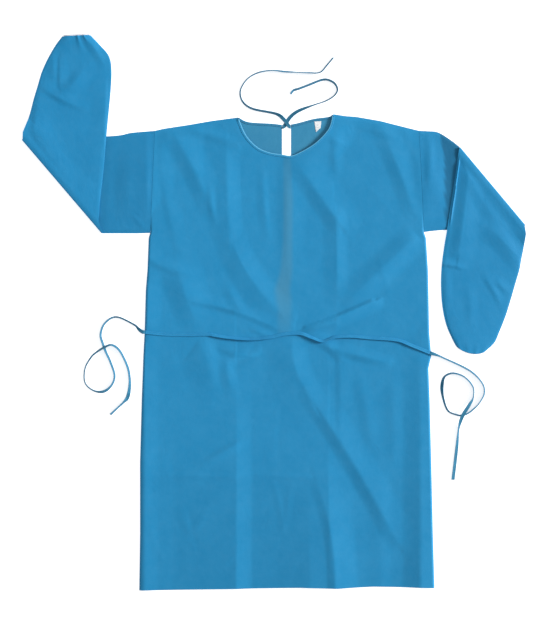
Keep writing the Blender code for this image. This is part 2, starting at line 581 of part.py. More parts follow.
def sleeve_rings(sleeve):
    """Outer and inner rings of a sleeve from armhole to wrist.

    A ring has its lower layer from the shoulder edge to the underarm edge and then its upper
    layer back again. depth 0 is the layer that rests on the surface at the armhole; past the
    elbow fold the same layer lies on top.
    """
    t = np.linspace(0, 1, SLEEVE_COLUMNS + 1)
    outer_rings, inner_rings = [], []

    def add_ring(outer, under, place, hollow, waves):
        base = outer[None] + t[:, None] * (under - outer)[None]
        span = np.linalg.norm(under - outer)
        inset = np.clip(t, CLOTH / span, 1 - CLOTH / span)
        inner_base = outer[None] + inset[:, None] * (under - outer)[None]
        low = waves * np.cos(2 * math.pi * CUFF_WAVES * t) ** 2
        outer_rings.append(np.vstack([place(base, low),
                                      place(base, 2 * CLOTH + hollow - low)[::-1]]))
        inner_rings.append(np.vstack([place(inner_base, CLOTH + low),
                                      place(inner_base, CLOTH + hollow - low)[::-1]]))

    # upper sleeve, flat on the surface
    steps = np.linspace(0, 1, UPPER_RINGS)
    shoulder = along(sleeve.shoulder_edge, steps)
    under = along(sleeve.under_edge, steps)
    armhole = shoulder[0] - under[0]
    across_seam = np.array([-armhole[1], armhole[0]]) / np.linalg.norm(armhole) * -sleeve.side
    clear = across_seam * ARMHOLE_SEAM
    shoulder[0] += clear
    under[0] += clear
    fold = under[-1] - shoulder[-1]
    fold /= np.linalg.norm(fold)
    outward = np.array([fold[1], -fold[0]]) * -sleeve.side
    axis = (shoulder[-1] - outward * FOLD_RADIUS, under[-1] - outward * FOLD_RADIUS)
    shoulder[-1], under[-1] = axis
    for place_shoulder, place_under in zip(shoulder, under):
        across = place_shoulder[None] + t[:, None] * (place_under - place_shoulder)[None]
        hollow = upper_hollow(sleeve, across[:, 0], across[:, 1], t)
        add_ring(place_shoulder, place_under,
                 lambda base, depth: np.column_stack([base, depth]), hollow, 0.0)
    fold_hollow = hollow

    # elbow fold
    for turn in range(1, FOLD_TURNS + 2):
        angle = math.pi * turn / (FOLD_TURNS + 1)

        def bent(base, depth, angle=angle):
            arm = (FOLD_RADIUS - depth)[:, None]
            flat = base + outward[None] * arm * math.sin(angle)
            return np.column_stack([flat, FOLD_RADIUS - arm[:, 0] * math.cos(angle)])

        add_ring(axis[0], axis[1], bent, fold_hollow, np.zeros_like(t))

    # forearm, on top of the upper sleeve and then on the surface
    for index, row in enumerate(sleeve.forearm):
        ends = np.array([row.outer, row.under], float)
        across = ends[0] + t[:, None] * (ends[1] - ends[0])
        arch = (4 * t * (1 - t)) ** ROUND_POWER
        cuff = ease((row.hollow - CUFF_FROM) / (CUFF_GAP - CUFF_FROM))
        folds = folds_rise(across[:, 0], across[:, 1], sleeve.folds[-3:]) * (1 - cuff)
        hollow = SEAM + arch * (row.hollow + folds - SEAM)
        seat = seat_height(sleeve, across[:, 0], across[:, 1])
        if index == 0:
            seat = np.maximum(seat, 0.5 * (FOREARM_SEAT + 2 * FOLD_RADIUS - 2 * CLOTH
                                           - fold_hollow))

        def lying(base, depth, seat=seat, hollow=hollow):
            return np.column_stack([base, seat + 2 * CLOTH + hollow - depth])

        waves = CUFF_WAVE * cuff * arch
        add_ring(ends[0], ends[1], lying, hollow, waves)
    return np.array(outer_rings), np.array(inner_rings)


def make_sleeve(name, sleeve, cloth, parts):
    outer, inner = sleeve_rings(sleeve)
    # one more ring near the wrist, where the elastic sits
    share = CUFF_ROW / np.linalg.norm(outer[-1].mean(axis=0) - outer[-2].mean(axis=0))
    outer = np.insert(outer, -1, outer[-1] + share * (outer[-2] - outer[-1]), axis=0)
    inner = np.insert(inner, -1, inner[-1] + share * (inner[-2] - inner[-1]), axis=0)
    loft(name, outer, cloth, parts, hollow=inner)
    return inner[-2:]


def make_elastic(name, cuff, sleeve, cloth, parts):
    """A flat band inside the wrist, moved in from the sleeve's own inner points."""
    first, last = ELASTIC_SPAN
    count = SLEEVE_COLUMNS + 1
    out_way = cuff[1].mean(axis=0) - cuff[0].mean(axis=0)
    out_way /= np.linalg.norm(out_way)
    rings, holes = [], []
    for along_cuff, out in ((ELASTIC_START, 0.0), (1.0, 0.0), (1.0, sleeve.out)):
        ring = cuff[0] + along_cuff * (cuff[1] - cuff[0]) + out_way * out
        top = ring[:count][first:last + 1]
        bottom = ring[count:][::-1][first:last + 1]
        up = np.array([0.0, 0.0, 1.0])
        outer_top = top - up * SEAM
        outer_bottom = bottom + up * SEAM
        rings.append(np.vstack([outer_top, outer_bottom[::-1]]))
        end = (top[-1] - top[0]) / np.linalg.norm(top[-1] - top[0]) * CLOTH
        inset = np.zeros_like(top)
        inset[0] = end
        inset[-1] = -end
        holes.append(np.vstack([outer_top - up * CLOTH + inset,
                                (outer_bottom + up * CLOTH + inset)[::-1]]))
    loft(name, rings, cloth, parts, hollow=holes)


# ------------------------------------------------------------------ strips
def strip_frames(route):
    """Middle, flat way across and way through the thickness at each point of a strip."""
    way = np.gradient(route[:, :2], axis=0)
    way /= np.linalg.norm(way, axis=1, keepdims=True)
    roll = np.radians(route[:, 2])
    side = np.column_stack([way[:, 1], -way[:, 0], np.zeros(len(way))])
    up = np.array([0.0, 0.0, 1.0])
    across = np.cos(roll)[:, None] * side + np.sin(roll)[:, None] * up
    through = -np.sin(roll)[:, None] * side + np.cos(roll)[:, None] * up
    standing = TIE_WIDTH / 2 * np.abs(np.sin(roll)) + TIE_THICKNESS / 2 * np.cos(roll)
    middle = np.column_stack([route[:, :2], route[:, 3] + standing])
    return middle, across, through


def make_strip(name, route, cloth, parts):
    """A folded flat strip along a route of x, y, roll and lift."""
    middle, across, through = strip_frames(route)
    half = across * TIE_WIDTH / 2
    thick = through * TIE_THICKNESS / 2
    rings = np.stack([middle - half - thick, middle + half - thick,
                      middle + half + thick, middle - half + thick], axis=1)
    loft(name, rings, cloth, parts)


def height_finder(sheet):
    """A function for the height of a piece's upper face over a point, in millimetres."""
    tree = BVHTree.FromObject(sheet, bpy.context.evaluated_depsgraph_get())

    def height(x, y):
        hit = tree.ray_cast(Vector((x * MM, y * MM, 1.0)), Vector((0, 0, -1)))[0]
        return hit.z / MM if hit else 0.0

    return height


def make_belt(front, cloth, parts):
    """The belt, laid on the highest points of the front under each stretch of it."""
    height = height_finder(front)
    route = along(smooth_route(BELT_ROUTE, BELT_SPANS), np.linspace(0, 1, BELT_STATIONS))
    middle, across, _ = strip_frames(route)
    spacing = np.linalg.norm(np.diff(route[:2, :2], axis=0))
    way = np.gradient(route[:, :2], axis=0)
    way /= np.linalg.norm(way, axis=1, keepdims=True)
    for i, place in enumerate(middle):
        spots = [place[:2] + across[i, :2] * TIE_WIDTH / 2 * side + way[i] * spacing * ahead
                 for side in (-1, -0.5, 0, 0.5, 1) for ahead in (-1, -0.5, 0, 0.5, 1)]
        route[i, 3] = max(height(*spot) for spot in spots) + SEAM
    make_strip("belt", route, cloth, parts)
    return route


def belt_end(last, before, roll_sign):
    """The first stations of a waist tie, in line with the end of the belt that it leaves."""
    way = last[:2] - before[:2]
    way /= np.linalg.norm(way)
    return [(*(last[:2] + way * off), roll_sign * last[2], last[3])
            for off in (SEAM, TIE_START / 2, TIE_START)]


def make_tie(name, stations, cloth, parts):
    route = smooth_route(stations, TIE_SPANS)
    route[:, 3] = np.maximum(route[:, 3], 0.0)
    make_strip(name, route, cloth, parts)


# ------------------------------------------------------------------ the gown
def build():
    clear_scene()
    parts = collection("surgical_gown")
    cloth = material("cloth_blue", CLOTH_BLUE, CLOTH_ROUGHNESS)
    front, points = make_front(cloth, parts)
    make_backs(material("cloth_inside", INSIDE_BLUE, CLOTH_ROUGHNESS), parts)

    sleeve_cloth = material("sleeve_blue", SLEEVE_BLUE, CLOTH_ROUGHNESS)
    elastic = material("elastic_white", ELASTIC_WHITE, TRIM_ROUGHNESS)
    for side, sleeve in (("right", SLEEVE_RIGHT), ("left", SLEEVE_LEFT)):
        cuff = make_sleeve("sleeve_" + side, sleeve, sleeve_cloth, parts)
        make_elastic("cuff_elastic_" + side, cuff, sleeve, elastic, parts)

    trim = material("trim_blue", TRIM_BLUE, TRIM_ROUGHNESS)
    make_front_binding(points, trim, parts)
    make_back_binding("neck_binding_back_right", BACK_NECK_RIGHT, trim, parts)
    make_back_binding("neck_binding_back_left", BACK_NECK_LEFT, trim, parts)
    belt = make_belt(front, trim, parts)
    right_end = belt_end(belt[0], belt[1], -1)
    left_end = belt_end(belt[-1], belt[-2], 1)
    make_tie("waist_tie_right", [*right_end, *WAIST_TIE_RIGHT], trim, parts)
    make_tie("waist_tie_left", [*left_end, *WAIST_TIE_LEFT], trim, parts)
    make_tie("neck_tie_right", NECK_TIE_RIGHT, trim, parts)
    make_tie("neck_tie_left", NECK_TIE_LEFT, trim, parts)

    tag = material("label_white", LABEL_WHITE, TRIM_ROUGHNESS)
    flat_piece("label", LABEL, CLOTH, CLOTH + SEAM, tag, parts)


build()
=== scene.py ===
"""Looks of the laid surgical gown: thin shells of non-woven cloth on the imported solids.

Tables and forms are in millimetres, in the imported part's own frame; MM turns them into metres.
"""

import math
from collections import namedtuple

import bmesh
import bpy
import numpy as np
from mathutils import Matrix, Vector
from mathutils.bvhtree import BVHTree


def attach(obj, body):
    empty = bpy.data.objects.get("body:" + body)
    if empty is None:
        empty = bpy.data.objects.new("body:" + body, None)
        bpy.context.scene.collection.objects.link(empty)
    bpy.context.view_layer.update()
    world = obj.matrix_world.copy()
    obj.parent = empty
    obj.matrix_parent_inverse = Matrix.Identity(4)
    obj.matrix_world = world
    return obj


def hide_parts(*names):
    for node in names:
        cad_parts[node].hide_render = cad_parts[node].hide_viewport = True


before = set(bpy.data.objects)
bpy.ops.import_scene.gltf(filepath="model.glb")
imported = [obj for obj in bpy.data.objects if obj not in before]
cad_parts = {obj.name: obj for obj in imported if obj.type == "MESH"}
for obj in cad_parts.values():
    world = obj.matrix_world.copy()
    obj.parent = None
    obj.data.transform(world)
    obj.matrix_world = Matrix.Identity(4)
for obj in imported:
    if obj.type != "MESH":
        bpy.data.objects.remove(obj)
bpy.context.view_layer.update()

MM = 0.001
UP = np.array([0.0, 0.0, 1.0])

# ------------------------------------------------------------------ sizes shared with the solids
CLOTH = 1.0             # wall of the solids; the shells lie inside it
SEAM = 0.3              # gap between two layers where they are sewn
ARMHOLE_SEAM = 0.5      # gap between the front's edge and a sleeve's first ring
HEM_RIGHT = (-328, -679)
HEM_LEFT = (392, -673)
SHOULDER_RIGHT = (-290, 442)
SHOULDER_LEFT = (354, 442)
UNDERARM_RIGHT = (-301, 193)
UNDERARM_LEFT = (366, 195)
NECK_RIGHT = (-88, 474)
FRONT_LOFT = 1.6        # height of the air under the front
ARMHOLE_ARCH = 3.0      # height of the armhole's hollow
NO_ARCH = 0.01          # where it is lower than this, the sides are sewn together
NECK_LOFT = 1.8         # more air along the neck edge
NECK_LIFT_FROM = 110.0  # the neck's lift grows from x = 0 to this x
NECK_LIFT_BELOW = 60.0  # and from the left corner's height to this far below it
NECK_REACH = 70.0       # how far the neck's air runs into the front
NECK_FLATTENED = 0.7    # share of a fold's height that is lost at the neck edge
CREASE_POWER = 1.2      # how fast a sharp crease falls off from its crest
TIE_WIDTH = 9.0
TIE_THICKNESS = 1.2
FOLD_RADIUS = 4.0       # of the elbow folds
COVERED_GAP = 1.2       # air in the upper sleeve where the forearm lies on it
SEAT_MARGIN = 8.0       # the forearm stays level this far past the upper sleeve
SEAT_RAMP = 45.0        # and comes down to the surface over this length
ROUND_POWER = 0.6       # the smaller, the steeper a sleeve's hollow opens from its edges
WEDGE_SHARE = 0.6       # share of an upper fold's height that the hollow takes
CUFF_GAP = 10.6         # inner height of the wrist
CUFF_FROM = 6.0         # inner height from which a forearm's folds flatten towards the wrist
CUFF_ROW = 8.0          # how far the elastic reaches into the wrist

# ------------------------------------------------------------------ sizes of the body's shells
SHELL = 0.45            # thickness of the cloth shells
RIM_ANGLE = math.radians(48)   # edges that turn by more than this stay crisp
LOWEST = 0.02           # no point of a shell lies lower than this
FLAT_MIDDLE = 1.5 * CLOTH + SEAM   # height of the front's middle where nothing lifts it
BACK_MID = 0.42         # height of the middle of the back's shell
BACK_SHELL = 0.4
BACK_RIPPLE = (-0.15, 0.3)     # lowest and highest of the back's small creases
BACK_CENTRE = 28        # x at the hem that the backs' columns are counted to
NECK_LEFT = (145, 482)
NECK_LIFT = 3.0         # how far the neck edge is lifted at its left
NECK_SAMPLES = 60       # points of the neck edge that distances are taken from
STEP = 4.4              # spacing of the front's columns
ROW_STEP = STEP + 0.8   # and of its rows
BELT_STEP = 3.0         # the same near the belt
BELT_ROWS = (-150, 30)  # between these heights
EDGE_STEPS = (0, 0.8, 1.6, 2.6, 3.8, 5.6, 8.0)   # the front's first points in from its sides
EDGE_SPANS = 6          # curve spans between two points of the neck edge
SLIT_SPANS = 4          # and between two rows of the open back
SIDE_EASE = 3.6         # width over which the front rises from a side seam
ARMHOLE_EASE = 34.0     # the same from an armhole
ARMHOLE_EASE_FROM = 45.0       # the first gives way to the second this far over the underarm
ARMHOLE_EASE_OVER = 50.0       # and over this height
SHOULDER_EASE = 13.0
SEAM_DROP = 0.75        # how far the front comes down to the back along its side seams
SEAM_ROLL = 4.0         # width of that roll
BELT_PRESS = 0.45       # share of the folds' height that the belt takes away
BELT_PRESS_REACH = 26.0
EDGE_INSET = 0.3        # heights along an edge of the front are taken this far in from it
CREST_SPANS = 12        # straight stretches of a fold's crest
FOLD_REACH = 1.5        # a fold is worked out within this many flanks of its crest
FOLD_MARGIN = 30.0      # and this much more
CREASE_BEND = 0.35      # the most that a small crease bends, in radians
CREASE_FLANKS = (9, 26)
CREASE_CRISP = (0.4, 0.9)

# ------------------------------------------------------------------ sizes of the sleeves' shells
SLEEVE_STEP = 4.0       # spacing of a sleeve's rings and of the points across its middle
SLEEVE_WIDTH = 270.0    # width of a flat sleeve that its points across are counted for
EDGE_CROWDING = 0.6     # how far they crowd towards its folded edges
UPPER_SPANS = 4         # curve spans between two points of an upper sleeve's edge
FOREARM_SPANS = 8       # and between two sections of a forearm
ELBOW_TURNS = 12        # steps round the elbow fold
EDGE_THICK = 1.05       # outer thickness of a sleeve at its folded edges
UPPER_ROLL = 10.0       # width of the upper sleeves' rounded edges
SEAM_BLEND = 12.0       # the sleeve meets the front's height over this length
REST_GAP = 0.05         # between a shell and what it rests on
INSIDE = 0.1            # the upper sleeves' shells are this much thinner than their solids
SMALL_FROM = 1.2        # small creases begin where the hollow is this high
SMALL_OVER = 1.5        # and are whole where it is this much higher
FOREARM_SEAT = 3.25     # height of the forearm's underside on the upper sleeve
FOREARM_WALLS = 1.2     # the forearm's two layers and the air between them at its flat edges
HOLLOW_SHARE = 0.42     # share of the solids' hollows that the limp cloth keeps
FOLDS_LOST = 0.8        # share of a forearm fold's height that is lost at the wrist
LIP_RINGS = 5           # the edge folds rise over this many rings
LIP_WIDTH = 4.0         # and over this width from the under edge
UNDER_FLANK = 20.0      # the lower layer comes down from the elbow fold over this length
LAYERS_APART = 1.0      # least distance between the outer faces of the forearm's two layers
GATHER_SPREAD = 0.6     # how much wider a gather is at its far end
GATHER_ABOVE = 0.8      # share of a gather's height on the upper layer
GATHER_BELOW = 0.5      # and on the lower one
BULGE_POWER = 0.7
BULGE_REACH = 46.0      # the wrist's edge bows out over this length
ELASTIC_CLEAR = 0.8     # between the wrist's outer face and the elastic's
ELASTIC_WALL = 0.5
ELASTIC_FREE = 0.07     # share of the wrist's width beyond each end of the elastic
ELASTIC_OUT = {"sleeve_right": 4.0, "sleeve_left": 0.6}   # how far it shows past the cloth

# ------------------------------------------------------------------ sizes of the trim
TIE_STEP = 2.4          # spacing of the points along a strip
TIE_SPANS = 12          # curve spans between two stations of a route
BELT_END_OFFS = (0.1, 3.0, 6.0)   # first points of a waist tie past the belt's end
BINDING_START = 2.0     # bare length of the back neck edge at each shoulder
BINDING_RINGS = 40      # sections of each back binding
LABEL_SHELL = 0.3
LABEL_GAP = 0.45        # between the middles of the label and of the back
LABEL_CURL = 0.5        # how far its lower end curls up
LABEL_WAVE = 0.25       # and how much more its middle does
NECK_STITCH = 3.2       # from one stitch to the next
BELT_STITCH = 3.6
STITCH_LENGTH = 2.3
STITCH_RADIUS = 0.16
FRONT_STITCHES = (3.7, 0.84)   # how far in from the neck edge, and how high over the cloth
BACK_STITCHES = (3.6, 0.74)
BELT_STITCHES_UP = 0.36        # height over the middle of the belt's thickness

# How far out of its edge and how high over the cloth's middle each corner of a binding lies.
FRONT_BINDING = np.array([
    (-5.0, 0.40), (-4.9, 0.62), (-4.4, 0.78), (-2.6, 0.80), (-1.0, 0.92), (0.4, 0.95), (1.2, 0.72),
    (1.6, 0.0), (1.2, -0.70), (0.4, -0.85), (-4.6, -0.75), (-5.0, -0.6), (-5.0, -0.38),
    (0.3, -0.40), (0.7, 0.0), (0.3, 0.40)])
BACK_BINDING = np.array([
    (-5.0, 0.30), (-4.9, 0.52), (-4.4, 0.68), (-2.6, 0.70), (-1.0, 0.78), (0.5, 0.80), (1.2, 0.55),
    (1.5, 0.0), (1.3, -0.30), (0.9, -0.38), (0.5, -0.30), (0.4, 0.0), (0.2, 0.28)])
SEAM_TAPE = np.array([(-6.0, -0.55), (-6.0, -0.32), (-0.5, -0.30), (1.4, -0.42), (1.4, -0.65)])

# ------------------------------------------------------------------ cloth, light and camera
BOND_TURNS = math.tau / 0.0030   # the bond points lie where two slanted waves, 3 mm long, cross
PAINTED_HIGHLIGHT_FROM = -0.0012               # where the binding's painted highlight begins, this far inside the edge, in metres
CLOTH_GLOSS = {"Specular IOR Level": 0.2, "Sheen Weight": 0.05}
FIBRE_BAND = (0.35, 0.7)         # the part of the fibres' noise that colours them
# Painted light and shade: a slope that faces the sun is painted paler, one that faces away deeper.
PAINTED_SLOPE_SHADE = 0.6
PAINTED_SLOPE_SHADE_LIMIT = 0.07
# The cloth's tone from the hem up.
TONE_Y = (-678, -404, -396, -200, 60, 442)
TONE_SHARE = (0.91, 0.935, 0.955, 0.96, 0.99, 1.0)
VIEW_HEIGHT = 1.5616             # metres of floor that the camera sees from top to bottom
VIEW_MIDDLE = (-0.0032, -0.0195)
CAMERA_HEIGHT = 3.0
FLOOR_HALF = 6.0
FLOOR_Z = -0.0002
FLOOR_GLOW = 0.6
SUN_STRENGTH = 4.17
SUN_ELEVATION = math.radians(24)
SUN_AZIMUTH = math.radians(13)
SUN_SPREAD = math.radians(16)
SKY_STRENGTH = 0.50

# ------------------------------------------------------------------ outlines
Side = namedtuple("Side", "y right left")
SIDES = (
    Side(442, -290, 354), Side(194, -301, 366), Side(181, -305, 371), Side(102, -308, 376),
    Side(54, -312, 377), Side(-51, -315, 379), Side(-107, -318, 384), Side(-137, -319, 377),
    Side(-215, -322, 380), Side(-366, -326, 384), Side(-542, -326, 388), Side(-679, -328, 392),
)
SHOULDER_LINE_RIGHT = (SHOULDER_RIGHT, (-268, 447), (-209, 456), (-151, 466), NECK_RIGHT)
FRONT_NECK = (NECK_RIGHT, (-70, 432), (-43, 402), (-13, 388), (20, 382), (41, 379), (61, 386),
              (99, 408), (126, 434), (138, 453), NECK_LEFT)
SHOULDER_LINE_LEFT = (NECK_LEFT, (176, 477.5), (201, 476), (259, 466), (318, 451), SHOULDER_LEFT)
HEM_LINE = (HEM_RIGHT, (-283, -678), (-34, -673), (64, -671), (157, -673), (244, -669),
            (332, -671), HEM_LEFT)
BACK_NECK_RIGHT = (NECK_RIGHT, (-62, 462), (-4, 458), (20, 455))
BACK_NECK_LEFT = (NECK_LEFT, (136, 475), (99, 470), (61, 460), (42, 456))
Slit = namedtuple("Slit", "y right left")
BACK_SLIT = (
    Slit(383, 20, 42), Slit(273, 25, 37), Slit(200, 27, 35), Slit(66, 15, 40), Slit(5, 8, 44),
    Slit(-39, 10, 42), Slit(-81, 25, 31), Slit(-200, 28, 31), Slit(-672, 28, 31),
)

# A walk from start over middle to end follows a fold's crest, rises are its heights on the way,
# the flanks are the widths of its slopes on the walker's right and left hand, and crisp runs
# from 0, a soft roll, to 1, a sharp crease.
Fold = namedtuple("Fold", "name start middle end rises right_flank left_flank crisp")
FRONT_FOLDS = (
    Fold("armhole_right", (-278, 420), (-266, 298), (-234, 156), (0.5, 0.8, 0.4), 15, 34, 0.55),
    Fold("chest_right", (-243, 430), (-196, 350), (-156, 256), (1.2, 3.0, 1.2), 34, 46, 0.75),
    Fold("shoulder_right", (-216, 446), (-155, 432), (-52, 400), (0.5, 1.6, 0.9), 20, 20, 0.55),
    Fold("pack_right_upper", (-115, 402), (-114, 300), (-108, 205), (1.2, 2.6, 2.0), 54, 34, 0.95),
    Fold("centre_right", (-106, 200), (-68, 100), (20, -6), (0.6, 3.4, 1.2), 46, 40, 0.85),
    Fold("side_right_crease", (-303, 128), (-258, 105), (-199, 93), (1.0, 1.6, 0.5), 12, 30, 0.95),
    Fold("side_right_bulge", (-234, 104), (-219, 50), (-190, -24), (1.0, 3.4, 1.2), 46, 60, 0.75),
    Fold("side_right_upper", (-306, 70), (-308, 10), (-308, -50), (0.8, 2.0, 1.0), 12, 36, 0.85),
    Fold("belt_right_upper", (-190, 22), (-96, 2), (16, -44), (1, 2.6, 0.8), 12, 26, 0.95),
    Fold("belt_right_lower", (-126, -93), (-87, -98), (-43, -100), (0.8, 2, 0.8), 12, 20, 0.75),
    Fold("centre_left", (54, 366), (100, 300), (154, 222), (1.2, 2.8, 2.0), 32, 60, 0.85),
    Fold("pack_left_upper", (153, 232), (154, 140), (154, 44), (1.8, 2.0, 1.0), 36, 28, 0.95),
    Fold("chest_left", (269, 430), (304, 348), (337, 254), (1.0, 2.6, 1.2), 30, 40, 0.85),
    Fold("side_left_diagonal", (350, 186), (300, 140), (194, 42), (0.3, 3.6, 1.6), 42, 44, 0.55),
    Fold("belt_left_upper", (78, -38), (152, -12), (240, 26), (2.5, 4.5, 3), 30, 8, 0.95),
    Fold("belt_left_lower", (86, -62), (128, -80), (160, -112), (1, 2.4, 1), 16, 26, 0.65),
    Fold("belt_left_under", (162, -95), (212, -108), (276, -122), (1.2, 3, 1.2), 16, 24, 0.75),
    Fold("centre_low", (46, -66), (50, -128), (84, -206), (1, 3, 1.4), 72, 40, 0.85),
    Fold("side_right_ridge", (-315, -62), (-316, -386), (-317, -678), (0.8, 1.6, 1.7), 9, 36, 0.95),
    Fold("pack_right_lower", (-92, -140), (-91, -434), (-92, -678), (0.6, 2.8, 4), 156, 38, 0.95),
    Fold("pack_left_middle", (162, -100), (162, -166), (162, -300), (0.4, 0.8, 0.3), 14, 34, 0.95),
    Fold("skirt_middle", (134, -330), (134, -500), (136, -678), (0.2, 4, 5), 385, 150, 0.95),
    Fold("skirt_rise", (132, -300), (134, -470), (148, -678), (0.2, 2.4, 3.2), 180, 61, 0.95),
    Fold("skirt_diagonal", (86, -203), (192, -366), (298, -556), (1.2, 3.6, 1.4), 28, 52, 0.95),
    Fold("pack_left_lower", (104, -416), (139, -540), (150, -678), (0.6, 1.6, 2.2), 20, 54, 0.95),
    Fold("side_left_ridge", (356, -93), (357, -361), (357, -678), (1.2, 2.8, 4.4), 44, 60, 0.95),
)
# Smaller creases, which only the shells have. A negative rise is a trough.
FRONT_CREASES = (
    Fold("pack_across_right", (-258, -400), (-175, -401), (-92, -402), (0.4, 0.8, 0.4), 6, 10, 0.9),
    Fold("pack_across_left", (-39, -399), (26, -401), (91, -402), (0.4, 0.8, 0.4), 6, 10, 0.9),
    Fold("skirt_wedge_right", (-170, -366), (-120, -338), (-80, -316), (0.3, 1.4, 0.5), 22, 12, 0.4),
    Fold("skirt_v_near", (-2, -410), (14, -470), (22, -532), (0.1, 0.35, 0.1), 14, 12, 0.4),
    Fold("skirt_v_far", (42, -414), (34, -470), (24, -530), (0.1, 0.3, 0.1), 12, 14, 0.4),
    Fold("skirt_smile", (-226, -486), (-200, -532), (-166, -488), (0.2, 0.5, 0.2), 14, 18, 0.4),
    Fold("belt_dent_right", (-107, -106), (-78, -107), (-48, -105), (0.5, 1.4, 0.4), 8, 12, 0.6),
    Fold("belt_tuck_right", (-52, -46), (-30, -52), (-8, -58), (0.6, 1.6, 0.6), 8, 12, 0.6),
    Fold("belt_tuck_left", (81, -46), (113, -36), (150, -26), (0.6, 1.4, 0.5), 9, 7, 0.8),
    Fold("shoulder_nick_left", (208, 446), (232, 443), (255, 440), (0.3, 1.0, 0.3), 7, 10, 0.7),
    Fold("neck_nick_left", (139, 419), (156, 413), (176, 408), (0.3, 1.2, 0.3), 8, 10, 0.7),
    Fold("pack_left_top", (152, 446), (152, 396), (151, 336), (0.4, 1.1, 0.4), 22, 20, 0.6),
    Fold("shoulder_fold_left", (240, 452), (262, 440), (300, 424), (0.3, 1.4, 0.4), 18, 22, 0.4),
    Fold("centre_pleat", (30, 372), (32, 250), (32, 108), (1.0, 1.6, 0.5), 27, 50, 0.8),
    Fold("centre_pleat_far", (-26, 346), (-23, 262), (-14, 180), (0.3, 0.9, 0.3), 20, 14, 0.5),
    Fold("chest_streak", (-156, 300), (-152, 260), (-144, 215), (0.2, 0.8, 0.2), 12, 12, 0.4),
    Fold("pack_right_patch", (-108, 62), (-96, 26), (-70, -8), (0.3, 1.2, 0.3), 22, 20, 0.5),
    Fold("belt_fan_right", (-190, -74), (-164, -112), (-150, -190), (0.6, 2.6, 0.6), 66, 40, 0.3),
    Fold("belt_fan_middle", (-116, -110), (-113, -150), (-104, -190), (0.4, 1.8, 0.5), 24, 24, 0.5),
    Fold("skirt_pleat_middle", (84, -400), (86, -560), (88, -678), (0.1, 0.9, 1.6), 80, 42, 0.8),
    Fold("skirt_fan_one", (204, -150), (226, -240), (236, -330), (0.2, 0.9, 0.3), 26, 26, 0.4),
    Fold("skirt_fan_two", (286, -140), (292, -260), (290, -380), (0.2, 0.8, 0.2), 26, 30, 0.4),
    Fold("skirt_pleat_left", (254, -300), (262, -470), (258, -678), (0.2, 0.7, 0.9), 40, 36, 0.4),
)

# Small shallow creases, as handling and packing leave them, strewn over a box from low to high.
Strewn = namedtuple("Strewn", "seed count low high rise size")
FRONT_STREWN = Strewn(11, 110, (-330, -680), (392, 470), (0.08, 0.28), (40, 150))
BACK_STREWN = Strewn(21, 60, (-330, -680), (392, 470), (0.1, 0.3), (60, 200))
SLEEVE_LEFT_STREWN = Strewn(31, 70, (-620, -100), (620, 680), (0.1, 0.3), (25, 90))
SLEEVE_RIGHT_STREWN = Strewn(32, 70, (-620, -100), (620, 680), (0.1, 0.3), (25, 90))

# Sections of the forearms, from the elbow fold to the wrist. outer is the edge that carries on
# from the shoulder, under the edge that carries on from the underarm, hollow the inner height.
Section = namedtuple("Section", "outer under hollow")
FOREARM_RIGHT = (
    Section((-611, 438), (-427, 222), 1.4), Section((-602, 462), (-424, 267), 2.0),
    Section((-594, 487), (-415, 345), 2.6), Section((-586, 518), (-409, 415), 3.2),
    Section((-577, 548), (-404, 475), 3.8), Section((-567, 582), (-398, 540), 4.4),
    Section((-556, 608), (-396, 590), 5.2), Section((-544, 631), (-402, 624), 6.6),
    Section((-530, 654), (-424, 651), 8.4), Section((-516, 672), (-447, 675.3), CUFF_GAP),
)
FOREARM_LEFT = (
    Section((449, 385), (614, 190), 1.4), Section((442, 331), (610, 160), 2.0),
    Section((432, 268), (604, 130), 2.6), Section((423, 206), (599, 103), 3.2),
    Section((415, 156), (590, 72), 3.8), Section((409, 106), (579, 34), 4.4),
    Section((408, 57), (566, -8), 5.2), Section((412, 8), (551, -46), 6.6),
    Section((423, -38), (538, -75), 8.4), Section((443, -80), (517, -94), CUFF_GAP),
)
SLEEVE_RIGHT_UPPER = (
    Fold("armhole_ridge", (-310, 434), (-310, 330), (-307, 222), (3.8, 2.6, 0.8), 80, 20, 0.8),
    Fold("forearm_side", (-374, 360), (-378, 290), (-376, 220), (0.4, 1.6, 0.4), 22, 44, 0.5),
    Fold("underarm_tuck", (-345, 236), (-325, 214), (-308, 203), (0.4, 1.8, 0.8), 10, 12, 0.6),
    Fold("shoulder_streak", (-396, 419), (-394, 392), (-390, 364), (0.8, 2.2, 0.6), 8, 10, 0.4),
    Fold("underarm_nick", (-372, 214), (-362, 204), (-352, 196), (0.4, 1.2, 0.5), 8, 10, 0.5),
)
SLEEVE_RIGHT_FOREARM = (
    Fold("forearm_crease", (-570, 553), (-526, 523), (-468, 497), (1.6, 2.4, 0.8), 12, 26, 0.7),
    Fold("wrist_patch", (-540, 640), (-538, 604), (-536, 572), (0.4, 2.0, 0.6), 22, 12, 0.6),
    Fold("wrist_line", (-521, 618), (-522, 584), (-521, 548), (0.6, 1.6, 1.0), 7, 24, 0.7),
    Fold("wrist_arm", (-517, 537), (-490, 556), (-463, 590), (1.4, 3.6, 1.2), 36, 22, 0.6),
    Fold("under_soft", (-452, 330), (-462, 290), (-458, 250), (0.3, 1.2, 0.3), 24, 30, 0.4),
)
SLEEVE_LEFT_UPPER = (
    Fold("armhole_wedge", (378, 434), (381, 380), (379, 325), (2, 4.2, 1.4), 20, 16, 0.6),
    Fold("upper_light", (379, 362), (380, 318), (381, 272), (0.6, 2.4, 0.6), 14, 34, 0.4),
    Fold("armhole_roll", (368, 312), (374, 264), (384, 206), (0.5, 1.4, 0.7), 12, 12, 0.5),
    Fold("upper_across", (392, 268), (410, 270), (428, 276), (0.3, 1.4, 0.3), 10, 12, 0.5),
)
